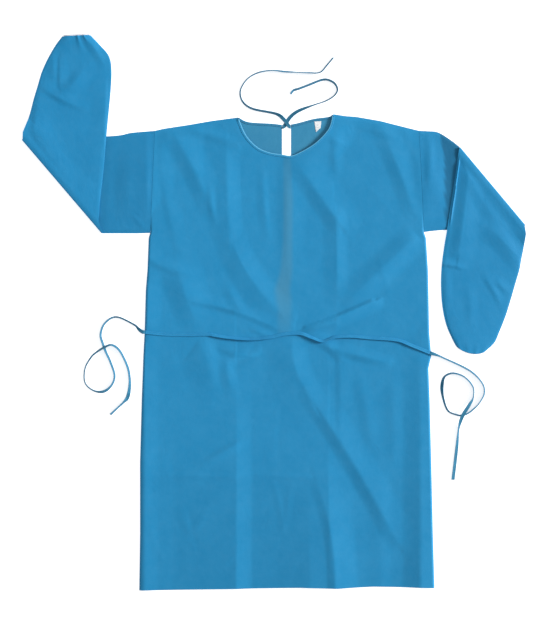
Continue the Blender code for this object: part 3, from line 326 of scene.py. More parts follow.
SLEEVE_LEFT_FOREARM = (
    Fold("elbow_band", (470, 340), (514, 262), (584, 158), (0.6, 1.8, 0.8), 24, 34, 0.5),
    Fold("elbow_roll", (514, 212), (562, 168), (606, 122), (0.9, 4.6, 6), 34, 26, 0.5),
    Fold("low_strip", (421, 98), (420, 60), (422, 20), (0.8, 1.6, 0.6), 8, 17, 0.5),
    Fold("wrist_roll", (536, 78), (556, 62), (580, 40), (0.8, 2.4, 0.8), 12, 20, 0.5),
    Fold("wrist_roll_low", (514, 88), (534, 56), (560, 8), (0.5, 2.0, 0.6), 12, 16, 0.5),
    Fold("low_soft", (474, 60), (480, 10), (482, -40), (0.4, 1.0, 0.3), 20, 22, 0.3),
)
# These lie on the forearms' edges and are not flattened towards them.
SLEEVE_RIGHT_EDGE = (
    Fold("wrist_diagonal", (-458, 668), (-438, 644), (-414, 604), (2.4, 2.2, 0.6), 18, 16, 0.5),
    Fold("inner_light", (-421, 400), (-426, 330), (-434, 240), (0.1, 0.8, 0.6), 44, 10, 0.5),
    Fold("inner_edge", (-410, 580), (-412, 480), (-416, 400), (0.2, 1.5, 0.4), 40, 9, 0.4),
    Fold("outer_bulge", (-565, 547), (-578, 490), (-582, 436), (0.4, 1.8, 2.2), 16, 50, 0.5),
    Fold("outer_bulge_low", (-582, 440), (-556, 404), (-530, 330), (1.6, 2.6, 1.6), 40, 48, 0.35),
)
SLEEVE_LEFT_EDGE = (
    Fold("outer_lip", (452.5, 384), (445, 322), (430, 214), (4.5, 4, 1), 3, 2.8, 0.5),
    Fold("elbow_crease", (412, 115), (438, 111), (466, 104), (2.4, 2.8, 0.6), 4, 18, 0.7),
    Fold("outer_band", (474, 348), (464, 250), (450, 146), (2.2, 3.6, 2.4), 25, 44, 0.7),
)
# A gather has its place and width across the wrist as shares, its height and how far it runs.
Gather = namedtuple("Gather", "at width height reach")
GATHERS_RIGHT = (
    Gather(0.20, 0.10, 1.0, 40), Gather(0.54, 0.045, 2.4, 52), Gather(0.755, 0.032, 1.8, 24),
)
GATHERS_LEFT = (
    Gather(0.16, 0.07, 1.0, 30), Gather(0.42, 0.09, 0.9, 40), Gather(0.66, 0.06, 1.0, 30),
    Gather(0.87, 0.05, 0.9, 34),
)
# side is -1 for the right and 1 for the left. crossed is the upper sleeve's edge that the forearm
# crosses, and rise_x the stretch in which the upper sleeve's hollow opens towards the armhole.
# rolls are the widths of the forearm's rounded edges, outer and under, and fold_flanks the lengths
# over which these edges come down from the elbow fold. cuff_bulge is how far the wrist's edge bows
# out. tones are the cloth's on the upper sleeve and on the forearm. A painted shadow makes it deeper
# past its border beside the forearm, whose rows are y and x, over its width.
Pocket = namedtuple("Pocket", "border depth width")
Sleeve = namedtuple("Sleeve", "name side shoulder_edge under_edge forearm crossed rise_x "
                              "upper_folds forearm_folds edge_folds strewn gathers rolls "
                              "cuff_bulge tones pocket fold_flanks")
SLEEVE_RIGHT = Sleeve(
    "sleeve_right", -1,
    (SHOULDER_RIGHT, (-348, 437), (-385, 430), (-500, 424), (-613.8, 419)),
    (UNDERARM_RIGHT, (-330, 192), (-360, 192), (-390, 192), (-420, 192)),
    FOREARM_RIGHT, ((-613.8, 419), (-385, 430)), (-396, -350),
    SLEEVE_RIGHT_UPPER, SLEEVE_RIGHT_FOREARM, SLEEVE_RIGHT_EDGE, SLEEVE_RIGHT_STREWN,
    GATHERS_RIGHT, (4.0, 2.5), 0.0, (0.90, 0.975), Pocket(((192, -398), (430, -388)), 0.10, 26),
    (60, 60))
SLEEVE_LEFT = Sleeve(
    "sleeve_left", 1,
    (SHOULDER_LEFT, (376, 441), (401, 438), (432, 419), (454, 402)),
    (UNDERARM_LEFT, (400, 199), (470, 203), (540, 208), (613, 212)),
    FOREARM_LEFT, ((613, 212), (400, 199)), (424, 396),
    SLEEVE_LEFT_UPPER, SLEEVE_LEFT_FOREARM, SLEEVE_LEFT_EDGE, SLEEVE_LEFT_STREWN,
    GATHERS_LEFT, (8.0, 4.0), 14.0, (1.0, 1.0), Pocket(((202, 417), (371, 414), (439, 402)), 0.4, 4),
    (16, 44))

# Routes of the strips: x, y, roll (0 lies flat, 90 stands on edge) and lift off what it lies on.
BELT_ROUTE = (
    (-314, -49, 12, 0), (-262, -54, 5, 0), (-204, -55, 5, 0), (-160, -54, 12, 0),
    (-142, -57, 30, 0), (-110, -62, 38, 0), (-58, -66, 44, 0), (-8, -61, 32, 0), (24, -54, 18, 0),
    (64, -52, 18, 0), (92, -62, 36, 0), (120, -71, 46, 0), (150, -61, 36, 0), (190, -59, 28, 0),
    (237, -63, 20, 0), (300, -68, 26, 0), (335, -81, 24, 0), (380, -99, 14, 0),
)
WAIST_TIE_RIGHT = (
    (-329, -42, 30, 2), (-342, -30, 60, 0), (-384, -12, 65, 0), (-412, -28, 68, 0),
    (-422, -55, 65, 0), (-417, -76, 62, 0), (-413, -88, 60, 0), (-408, -100, 62, 0),
    (-398, -122, 65, 0), (-388, -154, 68, 0), (-395, -178, 65, 0), (-415, -194, 45, 0),
    (-440, -191, 65, 0), (-460, -172, 66, 0), (-460, -138, 66, 0), (-445, -110, 60, 1.5),
    (-430, -97, 60, 6.5), (-412, -86, 55, 8.8), (-396, -80, 60, 6.0), (-380, -89, 62, 1),
    (-367, -109, 65, 0), (-355, -138, 62, 0), (-351, -165, 60, 0), (-352, -188, 40, 0),
    (-357, -209, 12, 0), (-366, -220, 60, 0), (-382, -235, 66, 0), (-398, -250, 60, 0),
)
WAIST_TIE_LEFT = (
    (395, -104, 45, 1.5), (414, -112, 65, 0), (476, -142, 62, 0), (507, -172, 66, 0),
    (513, -198, 62, 0), (500, -223, 66, 0), (483, -240, 60, 0), (471, -248, 60, 0),
    (459, -252, 60, 0), (447, -251, 66, 0), (424, -240, 68, 0), (412, -207, 60, 0),
    (410, -180, 30, 0), (416, -158, 65, 0), (436, -149, 66, 0), (464, -158, 68, 0),
    (485, -182, 66, 0), (486, -208, 65, 0), (476, -226, 25, 5.5), (463, -246, 6, 8.8),
    (455, -264, 20, 5.5), (450, -288, 58, 0), (446, -332, 28, 0), (437, -409, 22, 0),
)
NECK_TIE_RIGHT = (
    (41.6, 452, 0, 1.0), (40.1, 452, 0, 1.2), (38.6, 452, 0, 1.4), (34.5, 456, 0, 1.9),
    (29.5, 463.5, 0, 2.0), (23, 471, 5, 1.8), (14, 479, 30, 0.6), (-2, 485, 60, 0),
    (-51, 495, 66, 0), (-74, 510, 68, 0), (-82, 530, 68, 0), (-78, 549, 68, 0), (-62, 570, 66, 0),
    (-36, 584, 60, 0), (-4, 589, 65, 0), (25, 586, 55, 0), (60, 584, 68, 0), (88, 583, 62, 0),
    (113, 584, 66, 0), (130, 602, 66, 0), (145, 620, 66, 0),
)
NECK_TIE_LEFT = (
    (20.4, 451.5, 0, 0.5), (21.9, 451.5, 0, 0.4), (23.4, 451.5, 0, 0.3), (27.5, 456, 0, 0),
    (33, 465, 0, 0), (39, 474, 5, 0), (50, 484, 18, 0), (66, 493, 28, 0), (99, 505, 65, 0),
    (126, 514, 66, 0), (146, 526, 68, 0), (155, 541, 68, 0), (148, 557, 68, 0), (131, 566, 68, 0),
    (115, 565, 66, 0), (90, 555, 66, 0), (61, 544, 66, 0), (48, 540, 62, 0), (41, 531, 66, 0),
)
LABEL = ((99, 464.5), (116, 465.5), (114, 449), (103, 439))   # its corners, from the top

# Painted see-through light: the open back seen through the front, its light through the single layer
# painted into the front's colour. At each height y: x of its middle, its half width and how much of
# its paler painted colour shows.
PaintedSeeThrough = namedtuple("PaintedSeeThrough", "y middle half strength")
PAINTED_SEE_THROUGH = (
    PaintedSeeThrough(386, 32, 9, 0.0), PaintedSeeThrough(372, 32, 9, 0.3), PaintedSeeThrough(273, 35, 11, 0.45), PaintedSeeThrough(176, 34, 11, 0.42),
    PaintedSeeThrough(102, 31, 14, 0.46), PaintedSeeThrough(54, 21, 18, 0.55), PaintedSeeThrough(29, 24, 18, 0.5), PaintedSeeThrough(5, 27, 16, 0.42),
    PaintedSeeThrough(-32, 25, 16, 0.28), PaintedSeeThrough(-50, 25, 14, 0.18), PaintedSeeThrough(-64, 25, 14, 0.0),
)


# ------------------------------------------------------------------ curves and folds
def walked(points):
    """Length of a polyline from its start to each of its points."""
    steps = np.linalg.norm(np.diff(np.asarray(points, float), axis=0), axis=1)
    return np.concatenate([[0.0], np.cumsum(steps)])


def length_of(points):
    """Length of a polyline."""
    return walked(points)[-1]


def along(points, fractions):
    """Points at the given fractions of a polyline's length, which is measured flat."""
    table = np.asarray(points, float)
    reached = walked(table[:, :2])
    return np.column_stack([np.interp(fractions, reached / reached[-1], column)
                            for column in table.T])


def smooth_route(points, spans):
    """A Catmull-Rom curve through every point, with the given spans between two points."""
    table = np.asarray(points, float)
    padded = np.vstack([2 * table[0] - table[1], table, 2 * table[-1] - table[-2]])
    out = []
    for i in range(1, len(padded) - 2):
        before, start, end, after = padded[i - 1:i + 3]
        for step in range(spans):
            t = step / spans
            out.append(0.5 * (2 * start + (end - before) * t
                              + (2 * before - 5 * start + 4 * end - after) * t ** 2
                              + (3 * start - before - 3 * end + after) * t ** 3))
    out.append(table[-1])
    return np.array(out)


def evenly(stations):
    """The points of a strip's route at even steps, on a curve through its stations."""
    curve = smooth_route(stations, TIE_SPANS)
    curve[:, 3] = np.maximum(curve[:, 3], 0.0)
    steps = round(length_of(curve[:, :2]) / TIE_STEP)
    return along(curve, np.linspace(0, 1, steps + 1))


def ease(value):
    """0 below 0, 1 above 1 and a smooth step between."""
    t = np.clip(value, 0.0, 1.0)
    return t * t * (3 - 2 * t)


def crest_line(fold):
    """Points x, y, rise on the curve through a fold's start, middle and end."""
    ends = np.array([(*fold.start, fold.rises[0]), (*fold.middle, fold.rises[1]),
                     (*fold.end, fold.rises[2])], float)
    control = 2 * ends[1] - (ends[0] + ends[2]) / 2
    t = np.linspace(0, 1, CREST_SPANS + 1)[:, None]
    return (1 - t) ** 2 * ends[0] + 2 * t * (1 - t) * control + t ** 2 * ends[2]


def fold_rise(x, y, fold):
    """Height of one fold at the points x, y, which are near it."""
    line = crest_line(fold)
    nearest = np.full(x.shape, np.inf)
    rise = np.zeros_like(x)
    on_right = np.zeros(x.shape, bool)
    for start, end in zip(line[:-1], line[1:]):
        run = end[:2] - start[:2]
        t = np.clip(((x - start[0]) * run[0] + (y - start[1]) * run[1]) / (run @ run), 0, 1)
        dx = x - start[0] - t * run[0]
        dy = y - start[1] - t * run[1]
        distance = np.hypot(dx, dy)
        closer = distance < nearest
        nearest = np.where(closer, distance, nearest)
        rise = np.where(closer, start[2] + t * (end[2] - start[2]), rise)
        on_right = np.where(closer, dx * run[1] - dy * run[0] > 0, on_right)
    q = np.clip(nearest / np.where(on_right, fold.right_flank, fold.left_flank), 0, 1)
    soft = 0.5 + 0.5 * np.cos(math.pi * q)
    return rise * (fold.crisp * (1 - q) ** CREASE_POWER + (1 - fold.crisp) * soft)


def folds_rise(x, y, folds):
    """Sum of the heights of all folds at the points x, y."""
    total = np.zeros_like(x)
    for fold in folds:
        corners = np.array([fold.start, fold.middle, fold.end], float)
        reach = FOLD_REACH * max(fold.right_flank, fold.left_flank) + FOLD_MARGIN
        low = corners.min(axis=0) - reach
        high = corners.max(axis=0) + reach
        near = (x > low[0]) & (x < high[0]) & (y > low[1]) & (y < high[1])
        if near.any():
            total[near] += fold_rise(x[near], y[near], fold)
    return total


def random_creases(strewn):
    """The folds of one strewn set; a crease's rise is as often a trough."""
    draw = np.random.default_rng(strewn.seed)
    creases = []
    for number in range(strewn.count):
        start = draw.uniform(strewn.low, strewn.high)
        heading = draw.uniform(0, math.tau)
        reach = draw.uniform(*strewn.size)
        bend = draw.uniform(-CREASE_BEND, CREASE_BEND)
        middle = start + reach / 2 * np.array([math.cos(heading), math.sin(heading)])
        end = middle + reach / 2 * np.array([math.cos(heading + bend), math.sin(heading + bend)])
        top = draw.uniform(*strewn.rise) * draw.choice([-1, 1])
        flanks = draw.uniform(*CREASE_FLANKS, 2)
        creases.append(Fold(f"crease_{number}", tuple(start), tuple(middle), tuple(end),
                            (0.0, top, 0.0), flanks[0], flanks[1], draw.uniform(*CREASE_CRISP)))
    return tuple(creases)


# ------------------------------------------------------------------ the body's form
def side_x(y, side):
    """x of the body's side edge at each height."""
    heights = [row.y for row in SIDES][::-1]
    edges = [getattr(row, side) for row in SIDES][::-1]
    return np.interp(y, heights, edges)


def top_y(x):
    """y of the shoulders and of the front's neck edge at each x."""
    line = np.array(SHOULDER_LINE_RIGHT + FRONT_NECK[1:] + SHOULDER_LINE_LEFT[1:], float)
    return np.interp(x, line[:, 0], line[:, 1])


def armhole_arch(y):
    """Height of the armhole's hollow over its two ends."""
    t = np.clip((y - UNDERARM_RIGHT[1]) / (SHOULDER_RIGHT[1] - UNDERARM_RIGHT[1]), 0, 1)
    return ARMHOLE_ARCH * np.sin(math.pi * t)


def belt_nearness(x, y):
    """1 under the belt, falling to 0 a little way off it."""
    line = np.array(BELT_ROUTE, float)
    off = np.abs(y - np.interp(x, line[:, 0], line[:, 1]))
    return ease(1 - off / BELT_PRESS_REACH)


ALL_FRONT_FOLDS = FRONT_FOLDS + FRONT_CREASES + random_creases(FRONT_STREWN)


def front_middle(x, y):
    """Height of the middle of the front's shell."""
    off_side = np.minimum(x - side_x(y, "right"), side_x(y, "left") - x)
    by_shoulder = (x < NECK_RIGHT[0]) | (x > NECK_LEFT[0])
    off_shoulder = np.where(by_shoulder, top_y(x) - y, SHOULDER_EASE)
    at_armhole = ease((y - UNDERARM_RIGHT[1] - ARMHOLE_EASE_FROM) / ARMHOLE_EASE_OVER)
    at_side = ease(off_side / (SIDE_EASE + (ARMHOLE_EASE - SIDE_EASE) * at_armhole))
    inside = at_side * ease(off_shoulder / SHOULDER_EASE)
    samples = along(np.array(FRONT_NECK, float), np.linspace(0, 1, NECK_SAMPLES))
    off_neck = np.min([np.hypot(x - px, y - py) for px, py in samples], axis=0)
    by_neck = ease(1 - off_neck / NECK_REACH)
    lifted = ease(x / NECK_LIFT_FROM) * ease((NECK_LEFT[1] - y) / NECK_LIFT_BELOW)
    neck_room = by_neck * (NECK_LOFT + NECK_LIFT * lifted)
    folds = folds_rise(x, y, ALL_FRONT_FOLDS) * (1 - BELT_PRESS * belt_nearness(x, y))
    open_height = FRONT_LOFT + folds * (1 - NECK_FLATTENED * by_neck)
    sewn_side = armhole_arch(y) < NO_ARCH
    seam = np.maximum((1 - ease(off_side / SEAM_ROLL)) * sewn_side,
                      (1 - ease(off_shoulder / SEAM_ROLL)) * by_shoulder)
    arch = (1 - at_side) * armhole_arch(y)
    height = FLAT_MIDDLE + arch + inside * open_height + neck_room - SEAM_DROP * seam
    return np.maximum(height, FLAT_MIDDLE - SEAM_DROP * seam)


def coons(hem, top, right, left, u, v):
    """A grid of points between four edges; u and v are the columns' and rows' fractions."""
    u = u[None, :, None]
    v = v[:, None, None]
    corners = ((1 - u) * (1 - v) * hem[0] + u * (1 - v) * hem[-1]
               + (1 - u) * v * top[0] + u * v * top[-1])
    between = (1 - v) * hem[None] + v * top[None] + (1 - u) * right[:, None] + u * left[:, None]
    return between - corners


def body_rows():
    """Fractions of the height at which the rows lie, close together round the belt."""
    y = [HEM_RIGHT[1]]
    while y[-1] < SHOULDER_RIGHT[1]:
        by_belt = BELT_ROWS[0] < y[-1] < BELT_ROWS[1]
        y.append(y[-1] + (BELT_STEP if by_belt else ROW_STEP))
    y = np.array(y)
    return (y - y[0]) / (y[-1] - y[0])


def front_grid():
    """Flat grid of the front, and which of its columns end in the neck edge."""
    shoulder = max(2, round(length_of(SHOULDER_LINE_RIGHT) / STEP))
    neck = max(2, round(length_of(FRONT_NECK) / STEP))
    width = SHOULDER_LEFT[0] - SHOULDER_RIGHT[0]
    neck_start = (NECK_RIGHT[0] - SHOULDER_RIGHT[0]) / width
    neck_end = (NECK_LEFT[0] - SHOULDER_RIGHT[0]) / width
    reach = neck_start * width
    steps = np.concatenate([np.array(EDGE_STEPS) / reach,
                            np.linspace(EDGE_STEPS[-1] / reach, 1, shoulder - 1)[1:]])
    back_steps = 1 - steps[::-1]
    columns = np.concatenate([neck_start * steps,
                              np.linspace(neck_start, neck_end, neck + 1)[1:],
                              neck_end + (1 - neck_end) * back_steps[1:]])
    top = np.vstack([along(SHOULDER_LINE_RIGHT, steps),
                     along(smooth_route(FRONT_NECK, EDGE_SPANS), np.linspace(0, 1, neck + 1))[1:],
                     along(SHOULDER_LINE_LEFT, back_steps)[1:]])
    rows = body_rows()
    right_y = HEM_RIGHT[1] + rows * (SHOULDER_RIGHT[1] - HEM_RIGHT[1])
    left_y = HEM_LEFT[1] + rows * (SHOULDER_LEFT[1] - HEM_LEFT[1])
    right = np.column_stack([side_x(right_y, "right"), right_y])
    left = np.column_stack([side_x(left_y, "left"), left_y])
    flat = coons(along(HEM_LINE, columns), top, right, left, columns, rows)
    start = len(steps) - 1
    return flat, slice(start, start + neck + 1)


def back_grid(side, hem_corner, shoulder_line, neck):
    """Flat grid of one back half, from its side to the open centre."""
    top_line = list(shoulder_line) + list(neck[1:])
    rows = body_rows()
    columns = np.linspace(0, 1, round(abs(hem_corner[0] - BACK_CENTRE) / STEP) + 1)
    top = along(top_line, columns)
    centre = smooth_route([(getattr(row, side), row.y) for row in BACK_SLIT][::-1], SLIT_SPANS)
    centre = np.vstack([centre, top[-1]])
    edge_y = hem_corner[1] + rows * (SHOULDER_RIGHT[1] - hem_corner[1])
    outer = np.column_stack([side_x(edge_y, side), edge_y])
    hem_line = [point for point in HEM_LINE if (point[0] < 0) == (side == "right")]
    if side == "left":
        hem_line.reverse()
    hem = along(hem_line + [tuple(centre[0])], columns)
    return coons(hem, top, outer, along(centre, rows), columns, rows)


# ------------------------------------------------------------------ meshes
def mesh_from(name, points, faces, uvs=None, tones=None):
    """A mesh in metres from points in millimetres, with UVs in metres and named attributes."""
    mesh = bpy.data.meshes.new(name)
    mesh.from_pydata((np.asarray(points, float) * MM).tolist(), [], faces)
    corner_points = np.empty(len(mesh.loops), np.int32)
    mesh.loops.foreach_get("vertex_index", corner_points)
    if uvs is not None:
        layer = mesh.uv_layers.new(name="cloth")
        layer.data.foreach_set("uv", np.asarray(uvs, float)[corner_points].ravel())
    for label, values in (tones or {}).items():
        attribute = mesh.attributes.new(label, "FLOAT", "POINT")
        attribute.data.foreach_set("value", np.asarray(values, np.float32).ravel())
    mesh.polygons.foreach_set("use_smooth", [True] * len(mesh.polygons))
    mesh.update()
    return mesh


def add_object(name, mesh, cloth):
    """An object in the scene, made of one material."""
    made = bpy.data.objects.new(name, mesh)
    mesh.materials.append(cloth)
    bpy.context.scene.collection.objects.link(made)
    return made


def grid_faces(rows, columns):
    """Quads between the points of a grid, all facing up."""
    index = np.arange(rows * columns).reshape(rows, columns)
    return np.stack([index[:-1, :-1], index[:-1, 1:], index[1:, 1:], index[1:, :-1]],
                    axis=-1).reshape(-1, 4).tolist()


def thicken(piece, thickness, offset):
    """Give a piece its wall as plain faces, with crisp rims."""
    wall = piece.modifiers.new("Wall", "SOLIDIFY")
    wall.thickness = thickness * MM
    wall.offset = offset
    graph = bpy.context.evaluated_depsgraph_get()
    made = bpy.data.meshes.new_from_object(piece.evaluated_get(graph))
    made.set_sharp_from_angle(angle=RIM_ANGLE)
    for point in made.vertices:
        point.co.z = max(point.co.z, LOWEST * MM)
    piece.modifiers.clear()
    piece.data = made
    return piece


def cloth_sheet(name, grid, height, cloth, tones, thickness=SHELL):
    """A thin shell whose middle lies on a grid of flat points at their heights."""
    rows, columns = grid.shape[:2]
    points = np.dstack([grid, height]).reshape(-1, 3)
    mesh = mesh_from(name, points, grid_faces(rows, columns), grid.reshape(-1, 2) * MM, tones)
    return thicken(add_object(name, mesh, cloth), thickness, 0.0)


def ring_mesh(name, rings, uvs, tones=None, ends=False):
    """A tube through closed rings of points, with its ends filled if asked."""
    rings = np.asarray(rings, float)
    count, size = rings.shape[:2]
    index = np.arange(count * size).reshape(count, size)
    after = np.roll(index, -1, axis=1)
    faces = np.stack([index[:-1], after[:-1], after[1:], index[1:]], axis=-1)
    faces = faces.reshape(-1, 4).tolist()
    if ends:
        faces += [index[0][::-1].tolist(), index[-1].tolist()]
    # the faces look outward when the rings turn round the way that the tube runs
    middles = rings.mean(axis=1)
    spokes = rings - middles[:, None]
    turns = np.cross(spokes, np.roll(spokes, -1, axis=1)).sum(axis=1)
    if (turns * np.gradient(middles, axis=0)).sum() < 0:
        faces = [face[::-1] for face in faces]
    return mesh_from(name, rings.reshape(-1, 3), faces, np.asarray(uvs).reshape(-1, 2), tones)


# ------------------------------------------------------------------ materials
class Tree:
    """Short ways to add and join the nodes of one material."""

    def __init__(self, name):
        self.material = bpy.data.materials.new(name)
        self.material.use_nodes = True
        self.tree = self.material.node_tree
        self.shader = self.tree.nodes["Principled BSDF"]

    def add(self, kind, inputs=(), **settings):
        node = self.tree.nodes.new(kind)
        for key, value in settings.items():
            setattr(node, key, value)
        for key, value in dict(inputs).items():
            self.put(node, key, value)
        return node

    def put(self, node, key, value):
        socket = node.inputs[key]
        if isinstance(value, bpy.types.NodeSocket):
            self.tree.links.new(value, socket)
        else:
            socket.default_value = value

    def surface(self, inputs):
        """Set or join the shader's own inputs."""
        for key, value in inputs.items():
            self.put(self.shader, key, value)

    def on_cloth(self):
        """The cloth's UV in metres, whole and as its two parts."""
        place = self.add("ShaderNodeUVMap", uv_map="cloth").outputs["UV"]
        parts = self.add("ShaderNodeSeparateXYZ", {0: place}).outputs
        return place, parts[0], parts[1]

    def on_object(self):
        return self.add("ShaderNodeTexCoord").outputs["Object"]

    def attribute(self, name):
        return self.add("ShaderNodeAttribute", attribute_name=name).outputs["Fac"]

    def waves(self, value, spacing):
        """A sine along a value in metres, with one wave every spacing."""
        return self.math("SINE", self.math("MULTIPLY", value, math.tau / spacing))

    def bump(self, height, distance, strength=0.6, under=None):
        """A normal for relief of the given height in metres, laid on another if there is one."""
        inputs = {"Height": height, "Distance": distance, "Strength": strength}
        if under is not None:
            inputs["Normal"] = under
        return self.add("ShaderNodeBump", inputs).outputs[0]

    def noise(self, place, scale, detail=3.0, roughness=0.55, distortion=0.0):
        node = self.add("ShaderNodeTexNoise", {"Vector": place, "Scale": scale, "Detail": detail,
                                               "Roughness": roughness, "Distortion": distortion})
        return node.outputs["Fac"]

    def math(self, operation, first, second=0.0, third=0.0):
        node = self.add("ShaderNodeMath", {0: first, 1: second, 2: third}, operation=operation)
        return node.outputs[0]

    def band(self, value, low, high, start=0.0, end=1.0):
        node = self.add("ShaderNodeMapRange", {"Value": value, "From Min": low, "From Max": high,
                                               "To Min": start, "To Max": end})
        return node.outputs["Result"]

    def mix(self, factor, first, second, blend="MIX"):
        node = self.add("ShaderNodeMix", data_type="RGBA", blend_type=blend)
        sockets = [s for s in node.inputs if s.enabled]
        for socket, value in zip(sockets, (factor, first, second)):
            if isinstance(value, bpy.types.NodeSocket):
                self.tree.links.new(value, socket)
            else:
                socket.default_value = value
        return next(s for s in node.outputs if s.enabled)


def linear(red, green, blue):
    """A colour for a shader from its 8-bit sRGB numbers."""
    shares = [channel / 255 for channel in (red, green, blue)]
    return tuple(c / 12.92 if c <= 0.04045 else ((c + 0.055) / 1.055) ** 2.4 for c in shares) + (1.0,)


def cloth_material(name, colour, deep, see_through_paint):
    """Spun-bonded cloth: clouded fibres, a fine diamond of bond points and shallow crumples."""
    t = Tree(name)
    place, u, v = t.on_cloth()
    cloud = t.noise(place, 16.0, 3.0)
    patch = t.noise(place, 55.0, 4.0, 0.6)
    fibre = t.noise(place, 900.0, 3.0, 0.7)
    slant = t.math("SINE", t.math("MULTIPLY", t.math("ADD", u, v), BOND_TURNS))
    other = t.math("SINE", t.math("MULTIPLY", t.math("SUBTRACT", u, v), BOND_TURNS))
    bonds = t.band(t.math("MULTIPLY", slant, other), 0.45, 0.9)
    shade = t.mix(t.band(cloud, 0.35, 0.65), colour, deep)
    paler = t.mix(t.band(patch, 0.4, 0.75, 0.0, 0.05), shade, linear(110, 176, 214))
    seen = t.mix(t.band(fibre, *FIBRE_BAND, 0.0, 0.12), paler, linear(8, 92, 150))
    dotted = t.mix(t.math("MULTIPLY", bonds, 0.12), seen, linear(8, 88, 146))
    # painted light: over the open back the colour stands in for light seen through the single layer
    through = t.mix(t.attribute("bare"), dotted, see_through_paint)
    # the tone attribute carries painted light and shade on slopes and beside the forearms, with the
    # cloth's tone
    tone = t.attribute("tone")
    grey = t.add("ShaderNodeCombineColor", {0: tone, 1: tone, 2: tone}).outputs[0]
    crumple = t.noise(place, 30.0, 3.0, 0.5, 0.6)
    ridges = t.math("ABSOLUTE", t.math("SUBTRACT", crumple, 0.5))
    grain = t.math("SUBTRACT", t.math("MULTIPLY", fibre, 0.6), bonds)
    t.surface({"Base Color": t.mix(1.0, through, grey, "MULTIPLY"),
               "Roughness": t.band(fibre, 0.3, 0.7, 0.5, 0.68), **CLOTH_GLOSS,
               "Sheen Roughness": 0.45,
               "Normal": t.bump(grain, 0.00012, under=t.bump(ridges, 0.0012, 0.5))})
    return t.material


def strip_material(name, colour, deep):
    """A folded strip of the same cloth, with its two turned edges and a row of stitches."""
    t = Tree(name)
    place, across, run = t.on_cloth()
    fibre = t.noise(place, 700.0, 3.0, 0.7)
    cloud = t.noise(place, 60.0, 2.0)
    middle = t.math("ABSOLUTE", t.math("SUBTRACT", across, TIE_WIDTH / 2 * MM))
    groove = t.band(middle, 0.0, 0.0005, 1.0, 0.0)
    shade = t.mix(t.band(cloud, 0.35, 0.65), colour, deep)
    seen = t.mix(t.band(fibre, *FIBRE_BAND, 0.0, 0.18), shade, linear(10, 92, 146))
    lined = t.mix(t.math("MULTIPLY", groove, 0.35), seen, linear(12, 80, 128))
    pucker = t.math("MULTIPLY", t.waves(run, 0.0032), 0.12)
    relief = t.math("SUBTRACT", t.math("ADD", t.math("MULTIPLY", fibre, 0.5), pucker), groove)
    t.surface({"Base Color": lined, "Roughness": t.band(fibre, 0.3, 0.7, 0.5, 0.66),
               **CLOTH_GLOSS, "Normal": t.bump(relief, 0.00022, 0.7)})
    return t.material


def binding_material(name, colour, rim_highlight):
    """A turned strip of the cloth, with a highlight painted along its folded edge."""
    t = Tree(name)
    place, across, _ = t.on_cloth()
    fibre = t.noise(place, 700.0, 3.0, 0.7)
    seen = t.mix(t.band(fibre, *FIBRE_BAND, 0.0, 0.12), colour, linear(10, 92, 146))
    # painted highlight along the binding's folded edge
    at_highlight = t.band(across, PAINTED_HIGHLIGHT_FROM, PAINTED_HIGHLIGHT_FROM + 0.0008)
    t.surface({"Base Color": t.mix(at_highlight, seen, rim_highlight),
               "Roughness": t.band(fibre, 0.3, 0.7, 0.5, 0.66), **CLOTH_GLOSS,
               "Normal": t.bump(fibre, 0.00012)})
    return t.material


def elastic_material(name):
    """White covered elastic: fine ribs along the band and crossing threads."""
    t = Tree(name)
    place, round_wrist, along_arm = t.on_cloth()
    ribs = t.waves(along_arm, 0.0009)
    threads = t.waves(round_wrist, 0.0012)
    fibre = t.noise(place, 1200.0, 2.0)
    white = t.mix(t.band(ribs, -1, 1), linear(224, 226, 232), linear(240, 240, 244))
    relief = t.math("ADD", ribs, t.math("MULTIPLY", threads, 0.4))
    t.surface({"Base Color": white, "Roughness": t.band(fibre, 0.3, 0.7, 0.6, 0.8),
               "Normal": t.bump(relief, 0.00012)})
    return t.material


def label_material(name):
    """A plain woven tag, with no words on it."""
    t = Tree(name)
    place, across, down = t.on_cloth()
    weave = t.math("MULTIPLY", t.waves(across, 0.0007), t.waves(down, 0.0007))
    fibre = t.noise(place, 900.0, 2.0)
    white = t.mix(t.band(weave, -1, 1), linear(226, 230, 234), linear(246, 247, 248))
    t.surface({"Base Color": white, "Roughness": t.band(fibre, 0.3, 0.7, 0.45, 0.6),
               "Normal": t.bump(weave, 0.00008)})
    return t.material


def thread_material(name):
    """Twisted thread, a little paler than the cloth."""
    t = Tree(name)
    strand = t.noise(t.on_object(), 1600.0, 2.0)
    t.surface({"Base Color": t.mix(strand, linear(70, 156, 206), linear(112, 184, 224)),
               "Roughness": t.band(strand, 0.3, 0.7, 0.4, 0.6)})
    return t.material


# ------------------------------------------------------------------ camera, light and floor
def floor_material():
    """White paper that glows a little, so that it stays white under soft light."""
    t = Tree("floor_paper")
    grain = t.noise(t.on_object(), 300.0, 2.0)
    white = t.mix(t.band(grain, 0.3, 0.7), linear(244, 244, 246), linear(250, 250, 251))
    t.surface({"Base Color": white, "Roughness": t.band(grain, 0.3, 0.7, 0.85, 0.95),
               "Emission Color": (1.0, 1.0, 1.0, 1.0), "Emission Strength": FLOOR_GLOW})
    return t.material


